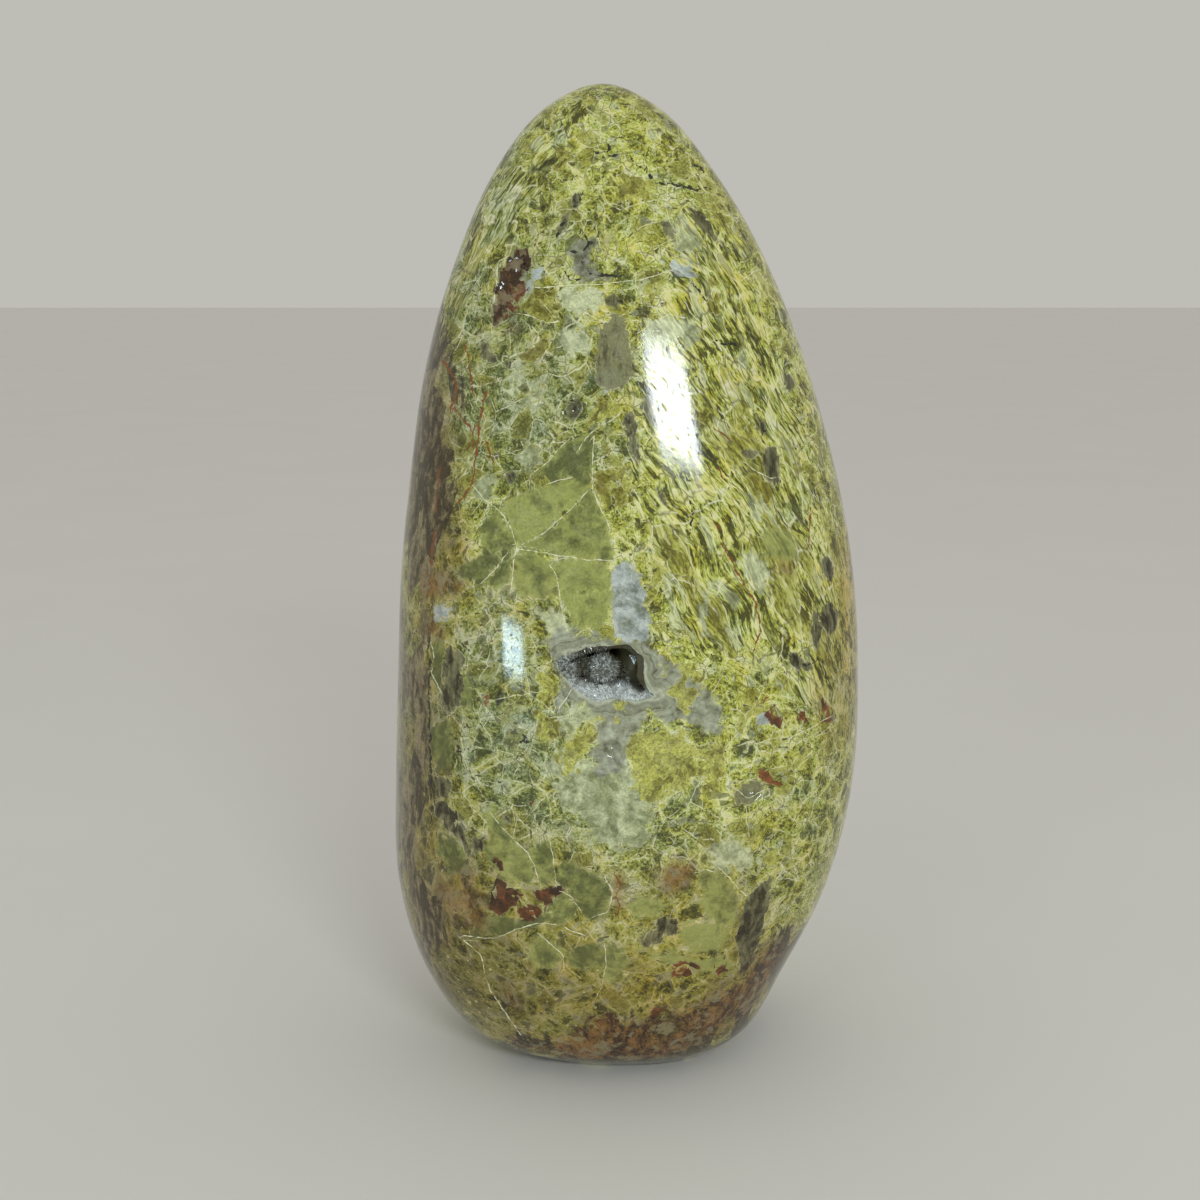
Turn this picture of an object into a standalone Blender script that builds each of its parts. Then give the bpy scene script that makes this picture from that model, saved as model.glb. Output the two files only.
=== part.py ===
"""Green opal freeform: a polished stone standing on a small flat spot.

One solid stone of oval sections that narrows to a rounded tip, with a hollow
in its front and a few shallow pits, and one crust of quartz crystals that
lines the hollow.  Metres, +Z up, origin on the surface that the stone stands
on, at the middle of the box round it.
"""
import math
import random

import bmesh
import bpy
import numpy as np
from mathutils import Vector, noise

MM = 0.001

# The stone's outline.  Each station gives a height and how far the stone
# reaches from its upright axis to the left, right, front and back, in mm.
STATIONS = (
    (0.0, 15.8, 14.4, 12.0, 12.4),
    (4.0, 23.0, 18.6, 17.4, 18.2),
    (12.0, 27.9, 22.6, 21.9, 21.8),
    (24.0, 31.2, 27.9, 25.0, 24.4),
    (40.0, 31.6, 31.2, 25.6, 25.6),
    (58.0, 30.6, 31.5, 23.9, 25.0),
    (76.0, 29.3, 29.0, 20.6, 23.0),
    (93.0, 26.7, 24.4, 16.6, 19.6),
    (108.0, 22.4, 18.2, 12.6, 15.4),
    (119.0, 17.2, 11.2, 8.8, 11.0),
    (127.0, 10.4, 4.0, 4.8, 6.4),
    (130.0, 3.2, -3.2, -0.8, 0.8),
)
SQUARENESS = 2.35
RINGS = 54
SEGMENTS = 56
SAMPLES_PER_SPAN = 32

# Hand polishing leaves the surface slightly uneven above the flat.
LUMP_HEIGHT = 0.45
LUMP_SPACING = 26.0
LUMPS_START = 9.0

# The hollow in the front: where its mouth is on the stone, the mouth's outline
# across and up from there, its depth, and how steeply it rises going in, in mm.
HOLLOW_PLACE = (-2.8, 58.4)
HOLLOW_MOUTH = (
    (-6.0, 1.4), (-3.8, 2.6), (-1.9, 3.2), (0.7, 3.5), (2.6, 3.5), (3.8, 2.8),
    (4.6, 1.8), (4.7, 0.4), (4.7, -0.9), (5.3, -2.0), (5.9, -2.7), (5.0, -3.2),
    (3.6, -3.4), (1.6, -3.1), (-1.2, -3.3), (-3.1, -2.5), (-4.4, -1.5), (-5.3, -0.2),
)
HOLLOW_HALF_HEIGHT = 3.4
HOLLOW_DEPTH = 7.5
HOLLOW_RISE = math.radians(9.0)
HOLLOW_ROUNDING = 3.2
HOLLOW_LUMPS = 0.05
HOLLOW_STEPS = 8
HOLLOW_SHARES = [math.sin(math.pi / 2 * i / HOLLOW_STEPS) for i in range(HOLLOW_STEPS)]
MOUTH_OVERSHOOT = 3.0

# The crust lines the hollow from just inside its mouth, a little clear of it.
CRUST_GAP = 0.3
CRUST_THICKNESS = 0.8
CRUST_START = 0.14
BUMP_RADIUS = 1.9
BUMP_PLACE = (-0.2, 0.9, 4.6)
CRYSTALS = 44
CRYSTAL_RADIUS = (0.40, 0.62)
CRYSTAL_LENGTH = (0.7, 1.1)
CRYSTAL_ROOT = 0.35

# Shallow pits in the front: x, z, width, height and depth, in mm.
PITS = (
    (-14.1, 104.5, 4.6, 7.2, 1.1),
    (-6.5, 90.0, 2.8, 2.2, 0.9),
    (-1.9, 49.4, 2.4, 1.9, 0.8),
    (15.1, 43.2, 4.0, 2.8, 0.9),
)
PIT_LUMPS = 0.15
PIT_DETAIL = 2

SEED = 7


def clear_scene():
    """Remove every object of the open file."""
    for obj in list(bpy.data.objects):
        bpy.data.objects.remove(obj, do_unlink=True)


def finish(name, color, roughness):
    """Return a plain material for one sub-part."""
    material = bpy.data.materials.new(name)
    material.use_nodes = True
    shader = material.node_tree.nodes["Principled BSDF"]
    shader.inputs["Base Color"].default_value = (*color, 1.0)
    shader.inputs["Roughness"].default_value = roughness
    shader.inputs["Metallic"].default_value = 0.0
    return material


def new_object(name, bm, material=None):
    """Link a mesh object made from bm, whose units are mm."""
    bmesh.ops.scale(bm, vec=(MM, MM, MM), verts=bm.verts)
    bmesh.ops.recalc_face_normals(bm, faces=bm.faces)
    mesh = bpy.data.meshes.new(name)
    bm.to_mesh(mesh)
    bm.free()
    obj = bpy.data.objects.new(name, mesh)
    bpy.context.collection.objects.link(obj)
    if material:
        mesh.materials.append(material)
    return obj


def as_guide(obj):
    """Mark an object as a cutter or a shape that another one takes in."""
    obj.hide_render = True
    obj.display_type = 'WIRE'
    return obj


def outline():
    """Return rows of height and reaches, evenly spaced up the stone's side."""
    stations = np.array(STATIONS)
    # Past the tip the outline goes down the other side, so that the tip is round.
    beyond = stations[-2][[0, 2, 1, 4, 3]] * (1, -1, -1, -1, -1)
    points = np.vstack([stations, beyond])
    half_width = (points[:, 1] + points[:, 2]) / 2
    steps = np.hypot(np.diff(points[:, 0]), np.diff(half_width))
    knots = np.concatenate([[0.0], np.cumsum(np.sqrt(steps))])
    slopes = np.gradient(points, knots, axis=0)
    s = np.linspace(0, 1, SAMPLES_PER_SPAN, endpoint=False)[:, None]
    rows = []
    for i in range(len(stations) - 1):
        span = knots[i + 1] - knots[i]
        rows.append(
            (1 + 2 * s) * (1 - s) ** 2 * points[i]
            + s * (1 - s) ** 2 * span * slopes[i]
            + s ** 2 * (3 - 2 * s) * points[i + 1]
            + s ** 2 * (s - 1) * span * slopes[i + 1]
        )
    rows = np.vstack(rows + [stations[-1:]])
    half_width = (rows[:, 1] + rows[:, 2]) / 2
    steps = np.hypot(np.diff(rows[:, 0]), np.diff(half_width))
    along = np.concatenate([[0.0], np.cumsum(steps)])
    even = np.linspace(0.0, along[-1], RINGS + 1)
    return np.stack([np.interp(even, along, column) for column in rows.T], axis=1)


def section(row):
    """Return one ring of points round the stone, an oval with full corners."""
    height, left, right, front, back = row
    ring = []
    for i in range(SEGMENTS):
        turn = 2 * math.pi * i / SEGMENTS
        across = math.cos(turn)
        along = math.sin(turn)
        size = (abs(across) ** SQUARENESS + abs(along) ** SQUARENESS) ** (-1 / SQUARENESS)
        point = Vector((
            (right - left) / 2 + (right + left) / 2 * size * across,
            (back - front) / 2 + (back + front) / 2 * size * along,
            height,
        ))
        lump = LUMP_HEIGHT * min(1.0, height / LUMPS_START)
        lump *= noise.noise(point / LUMP_SPACING)
        ring.append(point + Vector((across, along, 0)) * lump)
    return ring


def stone_body():
    """Make the whole stone, before anything is cut into it."""
    rings = [section(row) for row in outline()]
    tip = sum(rings.pop(), Vector()) / SEGMENTS
    points = np.array([point for ring in rings for point in ring])
    middle = Vector((*((points.min(axis=0) + points.max(axis=0)) / 2)[:2], 0.0))
    bm = bmesh.new()
    loops = [[bm.verts.new(point - middle) for point in ring] for ring in rings]
    bm.faces.new(loops[0])
    for lower, upper in zip(loops, loops[1:]):
        join_loops(bm, lower, upper)
    close_loop(bm, loops[-1], tip - middle)
    return new_object("opal_freeform", bm, finish("polished opal", (0.30, 0.30, 0.07), 0.12))


def join_loops(bm, lower, upper):
    """Join two rings of vertices with a band of quads."""
    count = len(lower)
    for i in range(count):
        j = (i + 1) % count
        bm.faces.new((lower[i], lower[j], upper[j], upper[i]))


def close_loop(bm, loop, point):
    """Close a ring of vertices with a fan of triangles to a point."""
    middle = bm.verts.new(point)
    for i, vertex in enumerate(loop):
        bm.faces.new((vertex, loop[(i + 1) % len(loop)], middle))


def front_place(stone, x, z):
    """Return the stone's front point at x and z, in mm, and the way in there."""
    start = Vector((x, -100.0, z)) * MM
    hit, point, normal, _ = stone.ray_cast(start, Vector((0, 1, 0)))
    if not hit:
        raise ValueError(f"the stone has no front at {x}, {z}")
    return point / MM, -normal


def hollow_ring(place, depth, inset):
    """Return the ring of points at a depth in the hollow, inset from its wall."""
    point, inward = place
    across = Vector((1, 0, 0))
    up = across.cross(inward).normalized()
    bottom = HOLLOW_DEPTH - inset
    share = min(1.0, max(0.0, depth / bottom))
    size = math.sqrt(1 - share ** HOLLOW_ROUNDING) * (1 - inset / HOLLOW_HALF_HEIGHT)
    middle = point + inward * depth + up * depth * math.tan(HOLLOW_RISE)
    ring = []
    for i, (right, high) in enumerate(HOLLOW_MOUTH):
        lump = 1 + HOLLOW_LUMPS * noise.noise(Vector((right, high, depth)) * 0.6)
        ring.append(middle + (across * right + up * high) * size * lump)
    return ring, middle


def hollow_cutter(place):
    """Make the shape that the hollow takes out of the stone."""
    bm = bmesh.new()
    depths = [-MOUTH_OVERSHOOT] + [HOLLOW_DEPTH * share for share in HOLLOW_SHARES]
    loops = [[bm.verts.new(p) for p in hollow_ring(place, depth, 0.0)[0]] for depth in depths]
    bm.faces.new(loops[0])
    for lower, upper in zip(loops, loops[1:]):
        join_loops(bm, lower, upper)
    close_loop(bm, loops[-1], hollow_ring(place, HOLLOW_DEPTH, 0.0)[1])
    return as_guide(new_object("hollow_cutter", bm))


def pit_cutter(stone, number, pit):
    """Make the lumpy ball that a shallow pit takes out of the stone."""
    x, z, width, height, depth = pit
    point, inward = front_place(stone, x, z)
    bm = bmesh.new()
    bmesh.ops.create_icosphere(bm, subdivisions=PIT_DETAIL, radius=1.0)
    turn = inward.to_track_quat('Y', 'Z')
    for vertex in bm.verts:
        lump = 1 + PIT_LUMPS * noise.noise(vertex.co * 1.7 + Vector((x, z, 0)))
        shape = Vector((width / 2, depth, height / 2)) * lump
        vertex.co = point + turn @ (vertex.co * shape)
    return as_guide(new_object(f"pit_cutter_{number}", bm))


def cut(stone, cutters):
    """Take the cutters out of the stone."""
    for cutter in cutters:
        hole = stone.modifiers.new(cutter.name, 'BOOLEAN')
        hole.operation = 'DIFFERENCE'
        hole.solver = 'EXACT'
        hole.object = cutter


def crust_shell(place):
    """Make the crust's curved shell, open towards the hollow's mouth."""
    bm = bmesh.new()
    start = HOLLOW_DEPTH * CRUST_START
    shells = []
    for inset in (CRUST_GAP, CRUST_GAP + CRUST_THICKNESS):
        room = HOLLOW_DEPTH - inset - start
        depths = [start + room * share for share in HOLLOW_SHARES]
        loops = [[bm.verts.new(p) for p in hollow_ring(place, d, inset)[0]] for d in depths]
        for lower, upper in zip(loops, loops[1:]):
            join_loops(bm, lower, upper)
        close_loop(bm, loops[-1], hollow_ring(place, HOLLOW_DEPTH - inset, inset)[1])
        shells.append(loops)
    join_loops(bm, shells[1][0], shells[0][0])
    return new_object("druzy_crust", bm, finish("quartz crust", (0.62, 0.62, 0.60), 0.25))


def crystal(point, towards, radius, length):
    """Make one quartz point: a six-sided stub with a six-sided tip."""
    bm = bmesh.new()
    bmesh.ops.create_cone(
        bm, cap_ends=True, segments=6, radius1=radius, radius2=radius * 0.85, depth=length,
    )
    top = max(bm.faces, key=lambda face: face.calc_center_median().z)
    bmesh.ops.poke(bm, faces=[top], offset=radius)
    turn = towards.to_track_quat('Z', 'Y')
    for vertex in bm.verts:
        vertex.co = point + turn @ (vertex.co + Vector((0, 0, length / 2 - CRYSTAL_ROOT)))
    return as_guide(new_object("crystal", bm))


def crystals(place):
    """Scatter quartz points over the crust's inner side, pointing at its middle."""
    chance = random.Random(SEED)
    inset = CRUST_GAP + CRUST_THICKNESS
    start = HOLLOW_DEPTH * CRUST_START + CRYSTAL_RADIUS[1]
    room = HOLLOW_DEPTH - inset - start
    heart = hollow_ring(place, HOLLOW_DEPTH * 0.35, inset)[1]
    made = []
    for _ in range(CRYSTALS):
        ring, _ = hollow_ring(place, start + room * math.sqrt(chance.random()), inset)
        corner = chance.randrange(len(ring))
        wall = ring[corner].lerp(ring[corner - 1], chance.random())
        made.append(crystal(
            wall,
            (heart - wall).normalized(),
            chance.uniform(*CRYSTAL_RADIUS),
            chance.uniform(*CRYSTAL_LENGTH),
        ))
    return made


def bump(place):
    """Make the round lump of quartz that grows from the hollow's back wall."""
    point, inward = place
    across, high, depth = BUMP_PLACE
    up = Vector((1, 0, 0)).cross(inward).normalized()
    bm = bmesh.new()
    bmesh.ops.create_icosphere(bm, subdivisions=2, radius=BUMP_RADIUS)
    bmesh.ops.translate(
        bm, verts=bm.verts, vec=point + Vector((across, 0, 0)) + up * high + inward * depth,
    )
    return as_guide(new_object("bump", bm))


def fuse(crust, growths):
    """Join the crystals and the lump to the crust as one solid."""
    group = bpy.data.collections.new("growths")
    for growth in growths:
        group.objects.link(growth)
    joint = crust.modifiers.new("growths", 'BOOLEAN')
    joint.operation = 'UNION'
    joint.solver = 'EXACT'
    joint.operand_type = 'COLLECTION'
    joint.collection = group
    skin = bmesh.new()
    skin.from_object(crust, bpy.context.evaluated_depsgraph_get())
    crust.modifiers.remove(joint)
    keep_outer_skin(skin)
    skin.to_mesh(crust.data)
    skin.free()


def keep_outer_skin(bm):
    """Fill the tiny spaces sealed in between crystals: keep the largest shell."""
    shells = []
    left = set(bm.verts)
    while left:
        shell = {left.pop()}
        front = list(shell)
        while front:
            near = {edge.other_vert(v) for v in front for edge in v.link_edges}
            front = near - shell
            shell |= front
        left -= shell
        shells.append(shell)
    shells.sort(key=len)
    for shell in shells[:-1]:
        bmesh.ops.delete(bm, geom=list(shell), context='VERTS')


def main():
    """Build the stone and the crust in its hollow."""
    clear_scene()
    stone = stone_body()
    place = front_place(stone, *HOLLOW_PLACE)
    pits = [pit_cutter(stone, number, pit) for number, pit in enumerate(PITS)]
    cut(stone, [hollow_cutter(place)] + pits)
    stone.data.shade_smooth()
    stone.data.set_sharp_from_angle(angle=math.radians(40))
    fuse(crust_shell(place), crystals(place) + [bump(place)])


main()
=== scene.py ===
"""Green opal freeform: the looks of a polished moss opal that stands on a small flat.

The stone is remade finely on the outline of the model in the frame, with its
hollow and pits, and its mineral patches, cracks and veins are drawn on it where
the photograph shows them.  Fine quartz crystals are grown over the hollow's crust.
"""
import math
from collections import namedtuple

import bmesh
import bpy
import numpy as np
from bpy.props import FloatProperty, FloatVectorProperty, IntProperty, PointerProperty
from mathutils import Matrix, Vector, noise


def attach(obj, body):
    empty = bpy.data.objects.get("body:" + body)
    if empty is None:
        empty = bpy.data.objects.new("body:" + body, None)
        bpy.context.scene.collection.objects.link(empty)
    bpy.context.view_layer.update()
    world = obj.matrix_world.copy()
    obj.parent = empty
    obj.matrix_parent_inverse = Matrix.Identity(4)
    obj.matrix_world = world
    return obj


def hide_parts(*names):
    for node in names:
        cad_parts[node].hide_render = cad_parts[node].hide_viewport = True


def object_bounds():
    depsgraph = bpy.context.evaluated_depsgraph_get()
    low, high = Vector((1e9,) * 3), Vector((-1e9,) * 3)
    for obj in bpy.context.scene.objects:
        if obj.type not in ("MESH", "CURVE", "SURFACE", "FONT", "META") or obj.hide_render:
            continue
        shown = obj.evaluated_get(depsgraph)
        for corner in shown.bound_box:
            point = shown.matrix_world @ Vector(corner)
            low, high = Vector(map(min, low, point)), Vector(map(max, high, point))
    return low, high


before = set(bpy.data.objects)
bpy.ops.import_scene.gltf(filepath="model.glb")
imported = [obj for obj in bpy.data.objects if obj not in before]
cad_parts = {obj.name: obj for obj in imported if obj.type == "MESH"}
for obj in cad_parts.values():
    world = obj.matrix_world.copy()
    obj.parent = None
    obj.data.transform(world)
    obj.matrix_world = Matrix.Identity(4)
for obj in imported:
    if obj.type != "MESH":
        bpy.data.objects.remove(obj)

bl_info = {
    "name": "Green opal freeform",
    "version": (1, 0, 0),
    "blender": (4, 5, 0),
    "location": "3D View > Sidebar > Opal",
    "description": "Builds a polished green moss opal with a crystal-lined hollow",
    "category": "Add Mesh",
}

MM = 0.001
CAD_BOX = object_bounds()

# The stone's outline, in mm: a height, and how far the stone reaches from its
# upright axis to the left, right, front and back there.
STATIONS = (
    (0.0, 15.8, 14.4, 12.0, 12.4),
    (4.0, 23.0, 18.6, 17.4, 18.2),
    (12.0, 27.9, 22.6, 21.9, 21.8),
    (24.0, 31.2, 27.9, 25.0, 24.4),
    (40.0, 31.6, 31.2, 25.6, 25.6),
    (58.0, 30.6, 31.5, 23.9, 25.0),
    (76.0, 29.3, 29.0, 20.6, 23.0),
    (93.0, 26.7, 24.4, 16.6, 19.6),
    (108.0, 22.4, 18.2, 12.6, 15.4),
    (119.0, 17.2, 11.2, 8.8, 11.0),
    (127.0, 10.4, 4.0, 4.8, 6.4),
    (130.0, 3.2, -3.2, -0.8, 0.8),
)
SQUARENESS = 2.35
SAMPLES_PER_SPAN = 32
RINGS = 288
SEGMENTS = 308
# The front half of each ring takes more of its segments than the back half.
FRONT_SHARE = 0.42

# Hand polishing leaves the surface slightly uneven above the flat.
LUMP_HEIGHT = 0.45
LUMP_SPACING = 26.0
LUMPS_START = 9.0

# The hollow: its place on the front, its mouth, its depth and its rise, in mm.
HOLLOW_PLACE = (-2.8, 58.4)
HOLLOW_MOUTH = (
    (-6.0, 1.4), (-3.8, 2.6), (-1.9, 3.2), (0.7, 3.5), (2.6, 3.5), (3.8, 2.8),
    (4.6, 1.8), (4.7, 0.4), (4.7, -0.9), (5.3, -2.0), (5.9, -2.7), (5.0, -3.2),
    (3.6, -3.4), (1.6, -3.1), (-1.2, -3.3), (-3.1, -2.5), (-4.4, -1.5), (-5.3, -0.2),
)
MOUTH_POINTS_PER_SIDE = 5
HOLLOW_HALF_HEIGHT = 3.4
HOLLOW_RISE = math.radians(9.0)
HOLLOW_ROUNDING = 3.2
HOLLOW_LUMPS = 0.05
HOLLOW_STEPS = 30
MOUTH_OVERSHOOT = 3.0

# The crust is fused to the hollow's wall, starts a little below its mouth and thickens
# over the slope behind it.
CRUST_GAP = -0.15
CRUST_THICKNESS = 0.75
CRUST_START = 0.12
CRUST_SLOPE = 0.8
MOUTH_BOW = 70.0
CRUST_VOXEL = 0.13
# Round lumps of quartz in the hollow: across, up, inwards and radius, in mm.
CRUST_BUMPS = (
    (-0.3, 0.5, 3.6, 1.95), (-2.9, 0.6, 3.6, 1.2), (-1.8, -1.1, 3.8, 0.9),
    (-4.1, 0.3, 2.4, 0.8), (-0.4, -2.5, 2.0, 0.8), (1.6, -2.6, 2.3, 0.9),
    (3.4, -2.6, 1.6, 0.7), (-2.3, -2.3, 1.7, 0.8), (4.8, 1.3, 7.3, 4.5),
)

# The photograph's frame, and where its camera stood.
PHOTO_SIZE = 1200
FOCAL_PIXELS = 1648.0
SENSOR_MM = 36.0
CAMERA_PLACE = Vector((-3.5, -219.2, 109.2))
CAMERA_PITCH = math.radians(12.0)
PIXELS_PER_MM = 7.7

# Hollow depth and the shallow pits: x, z, width, height and depth, in mm.
HOLLOW_DEPTH = 7.5
PITS = (
    (-14.1, 104.5, 4.6, 7.2, 1.1),
    (-6.5, 90.0, 2.8, 2.2, 0.9),
    (-1.9, 49.4, 2.4, 1.9, 0.8),
    (15.1, 43.2, 4.0, 2.8, 0.9),
)
PIT_LUMPS = 0.25
FOOT_RINGS = 20
# Edges that turn more sharply than this stay crisp.
CRISP_EDGE = math.radians(38.0)

# How far from an outline or a line its distance is worked out, in mm.
REACH = 5.0
# The patches thin out between these shares of facing, towards the stone's sides.
SIDE_FADE = (0.12, 0.30)
# The ground's zones blend from front to back over this much facing.
SIDE_BLEND = 0.5
# The back is fibrous to the right of this, in mm.
BACK_FIBRES = 8.0
# The back repeats the front's patches upside down, pushed about by this much, in pixels.
BACK_TURN = 1190
BACK_SHIFT = 26.0
BACK_SPACING = 22.0
BACK_SEED = 4

SIDE_BAND = (
    (0.45, (370, 290), (438, 300), (450, 345), (462, 400), (455, 440), (452, 470), (460, 500),
     (450, 530), (438, 560), (428, 600), (429, 640), (429, 820), (434, 850), (452, 872),
     (466, 905), (455, 935), (440, 945), (425, 960), (370, 960)),
)
FOOT_BAND = (
    (0.25, (520, 1032), (560, 1046), (600, 1026), (650, 1018), (700, 1010), (740, 985),
     (790, 925), (830, 930), (800, 1090), (500, 1090), (505, 1045)),
)
# Broad zones of the ground in the photograph: the middle, the reach to each side and up
# or down, and then how grey-green, how much darker and how brown the ground is there.
# The darkening is partly the ground's own tone and partly painted shade: it is strongest
# at the stone's left edge, at its right edge and towards its foot.
ZONES = (
    (610, 125, 90, 60, 0.1, 0.0, 0.0), (520, 200, 50, 70, 0.45, 0.5, 0.0),
    (470, 320, 40, 70, 0.6, 0.5, 0.1), (520, 400, 80, 80, 0.85, 0.6, 0.0),
    (700, 230, 90, 90, 0.1, 0.05, 0.0), (760, 420, 90, 120, 0.05, 0.05, 0.0),
    (720, 620, 110, 110, 0.1, 0.0, 0.0), (490, 610, 60, 50, 0.5, 0.4, 0.2),
    (490, 710, 60, 70, 0.75, 0.65, 0.0), (520, 800, 60, 60, 0.7, 0.5, 0.05),
    (590, 780, 60, 60, 0.8, 0.05, 0.0), (700, 770, 90, 50, 0.0, 0.05, 0.0),
    (430, 740, 22, 110, 0.4, 1.2, 0.9), (510, 870, 60, 40, 0.4, 0.65, 0.55),
    (436, 440, 18, 80, 0.3, 1.1, 0.9), (448, 560, 16, 40, 0.2, 1.1, 0.9),
    (838, 690, 20, 50, 0.1, 0.7, 0.5), (854, 600, 14, 70, 0.1, 0.6, 1.0),
    (590, 890, 60, 40, 0.5, 0.6, 0.45), (640, 850, 50, 30, 0.7, 0.1, 0.0),
    (710, 900, 60, 50, 0.2, 0.5, 0.5), (790, 850, 40, 80, 0.1, 0.3, 0.0),
    (450, 900, 40, 50, 0.0, 1.2, 1.0), (480, 980, 60, 50, 0.1, 1.3, 0.7),
    (560, 1000, 70, 45, 0.2, 1.05, 0.65), (660, 990, 80, 40, 0.1, 0.7, 0.75),
    (435, 985, 18, 30, 0.1, 1.5, 0.9),
    (750, 960, 50, 50, 0.1, 0.5, 0.5),
)
ZONE_FLOOR = 0.25

FIBRE_ZONE = (
    (1.0, (700, 190), (745, 240), (800, 380), (850, 560), (870, 720), (800, 720), (745, 650),
     (700, 660), (665, 640), (650, 560), (628, 470), (620, 400), (640, 330), (665, 250)),
    (0.0, (470, 200), (560, 100), (600, 90), (560, 170), (530, 240), (490, 260), (455, 330),
     (430, 330)),
)

# Colours that a user would change: name, what they colour, and the sRGB value.
COLOURS = {
    "moss_deep": ("Deep moss", "Darkest moss between the flakes", "#4d4d1e"),
    "moss_dark": ("Dark moss", "Olive moss", "#898b32"),
    "moss": ("Moss", "Yellow-green moss", "#b1b950"),
    "moss_light": ("Light moss", "Yellow moss", "#c9d16e"),
    "moss_pale": ("Pale moss", "Cream-yellow moss", "#e9e7a6"),
    "gold_tint": ("Gold tint", "How the moss turns golden", "#fff2bc"),
    "sage_deep": ("Deep sage", "Darkest grey-green ground", "#526034"),
    "sage": ("Sage", "Grey-green ground", "#96a667"),
    "sage_pale": ("Pale sage", "Lightest grey-green ground", "#d9e0bd"),
    "pane_dark": ("Dark pane", "Darkest clear olive opal", "#5a6132"),
    "pane_light": ("Light pane", "Lightest clear olive opal", "#a1a75b"),
    "amber_dark": ("Dark amber", "Darkest ochre opal", "#6c6418"),
    "amber_light": ("Light amber", "Lightest ochre opal", "#b6b655"),
    "smoke_dark": ("Dark smoke", "Darkest clear window", "#2a2414"),
    "smoke_light": ("Light smoke", "Blue-grey clear window", "#86855f"),
    "milk_dark": ("Dark milk", "Bluish cloudy opal", "#80875f"),
    "milk_light": ("Light milk", "Pale cloudy opal", "#d4daae"),
    "agate_dark": ("Dark agate", "Grey bands round the hollow", "#5e5d4a"),
    "agate_light": ("Light agate", "White bands round the hollow", "#c0c5ae"),
    "lens_dark": ("Dark chalcedony", "Blue-grey clear lenses", "#6f7871"),
    "lens_light": ("Light chalcedony", "Blue-white clear lenses", "#c3ccca"),
    "breccia_dark": ("Dark breccia", "Brown-grey broken rock", "#382f1d"),
    "breccia_light": ("Light breccia", "Lilac-beige broken rock", "#8f8464"),
    "rust_dark": ("Dark rust", "Dark iron-red patches", "#35200f"),
    "rust_light": ("Light rust", "Orange iron stain", "#854a20"),
    "stain": ("Stain", "Ochre-brown iron stain", "#8f6530"),
    "cream": ("Cream", "Healed cracks and rims", "#ebe8c2"),
    "fissure": ("Fissure", "Open dark cracks", "#25281a"),
    # The bare wall colour also serves as painted shade over the hollow's wall and its crystals.
    "bare_quartz": ("Bare wall", "Olive-brown wall without crystals", "#4f4b34"),
    "druse_dark": ("Dark druse", "Grey quartz crystals", "#767a6d"),
    "druse_light": ("Light druse", "White quartz crystals", "#eff5f4"),
}

# The hollow's mouth in the photograph, and the bare quartz at its right, painted dark as painted
# shade.
MOUTH = (
    (0.5, (557, 664), (575, 654), (591, 649), (612, 647), (627, 647), (636, 652), (643, 660),
     (643, 671), (642, 681), (650, 691), (657, 695), (647, 700), (635, 702), (619, 697),
     (596, 702), (581, 694), (571, 686), (564, 676)),
)
BARE_LINE = ((618, 650), (630, 656), (637, 667), (641, 684))
BARE_REACH = 9.0
# The round lump in the photograph that is as bright as the ledge, a painted highlight: place
# and radius; and where the bright left tip, also painted lit, ends.
PAINTED_LIT_LUMP = (603, 668, 16)
PAINTED_LIT_TIP = 578
# The round lumps also bear crystals where they face the camera by at least this share.
BUMP_FACING = 0.25
# Down from the first line of pixels the druse turns white over the second: the ledge is
# painted whiter as lit from above, partly white quartz and partly painted light.
LEDGE_TOP = 676.0
LEDGE_HEIGHT = 12.0

# The back's broken rock: how far round from the left, the radius there and its top; and
# how high it goes at the foot.
BAND_AZIMUTH = 62.0
BAND_RADIUS = 25.0
BAND_TOP = 97.0
FOOT_HEIGHT = 6.0

# The fibres lean away from this line, and are this many times as long as wide.
FIBRE_MIDDLE = -4.0
FIBRE_STRETCH = 3.6
# The ground's short strokes are about four times as long as wide.
STROKE_SHAPE = (1.0, 1.0, 0.26)

# Lines: attribute, colour, half width, softness, and how far they waver, in mm, their
# strength, and their least half width, which leaves gaps where it is below nothing.
LINES = (
    ("crack", "cream", 0.026, 0.05, 0.5, 0.95, -0.026),
    ("vein", "rust_light", 0.07, 0.08, 0.9, 0.95, -0.01),
    ("dark_crack", "fissure", 0.11, 0.06, 1.2, 0.97, -0.11),
)

# Lights: name, the pixel where each is mirrored, distance, size, power and colour.
LIGHTS = (
    ("window light", (675, 410), 0.70, (0.19, 0.085), 1.3, (0.88, 0.96, 1.0)),
    ("side light", (514, 650), 0.70, (0.12, 0.09), 0.62, (0.62, 0.85, 1.0)),
)
ROOM_COLOUR = (0.96, 0.94, 0.87, 1.0)
ROOM_STRENGTH = 0.54
FLOOR_REACH = 3000.0
FLOOR_DARK = (0.82, 0.81, 0.79, 1.0)
FLOOR_LIGHT = (0.86, 0.85, 0.83, 1.0)

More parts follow.
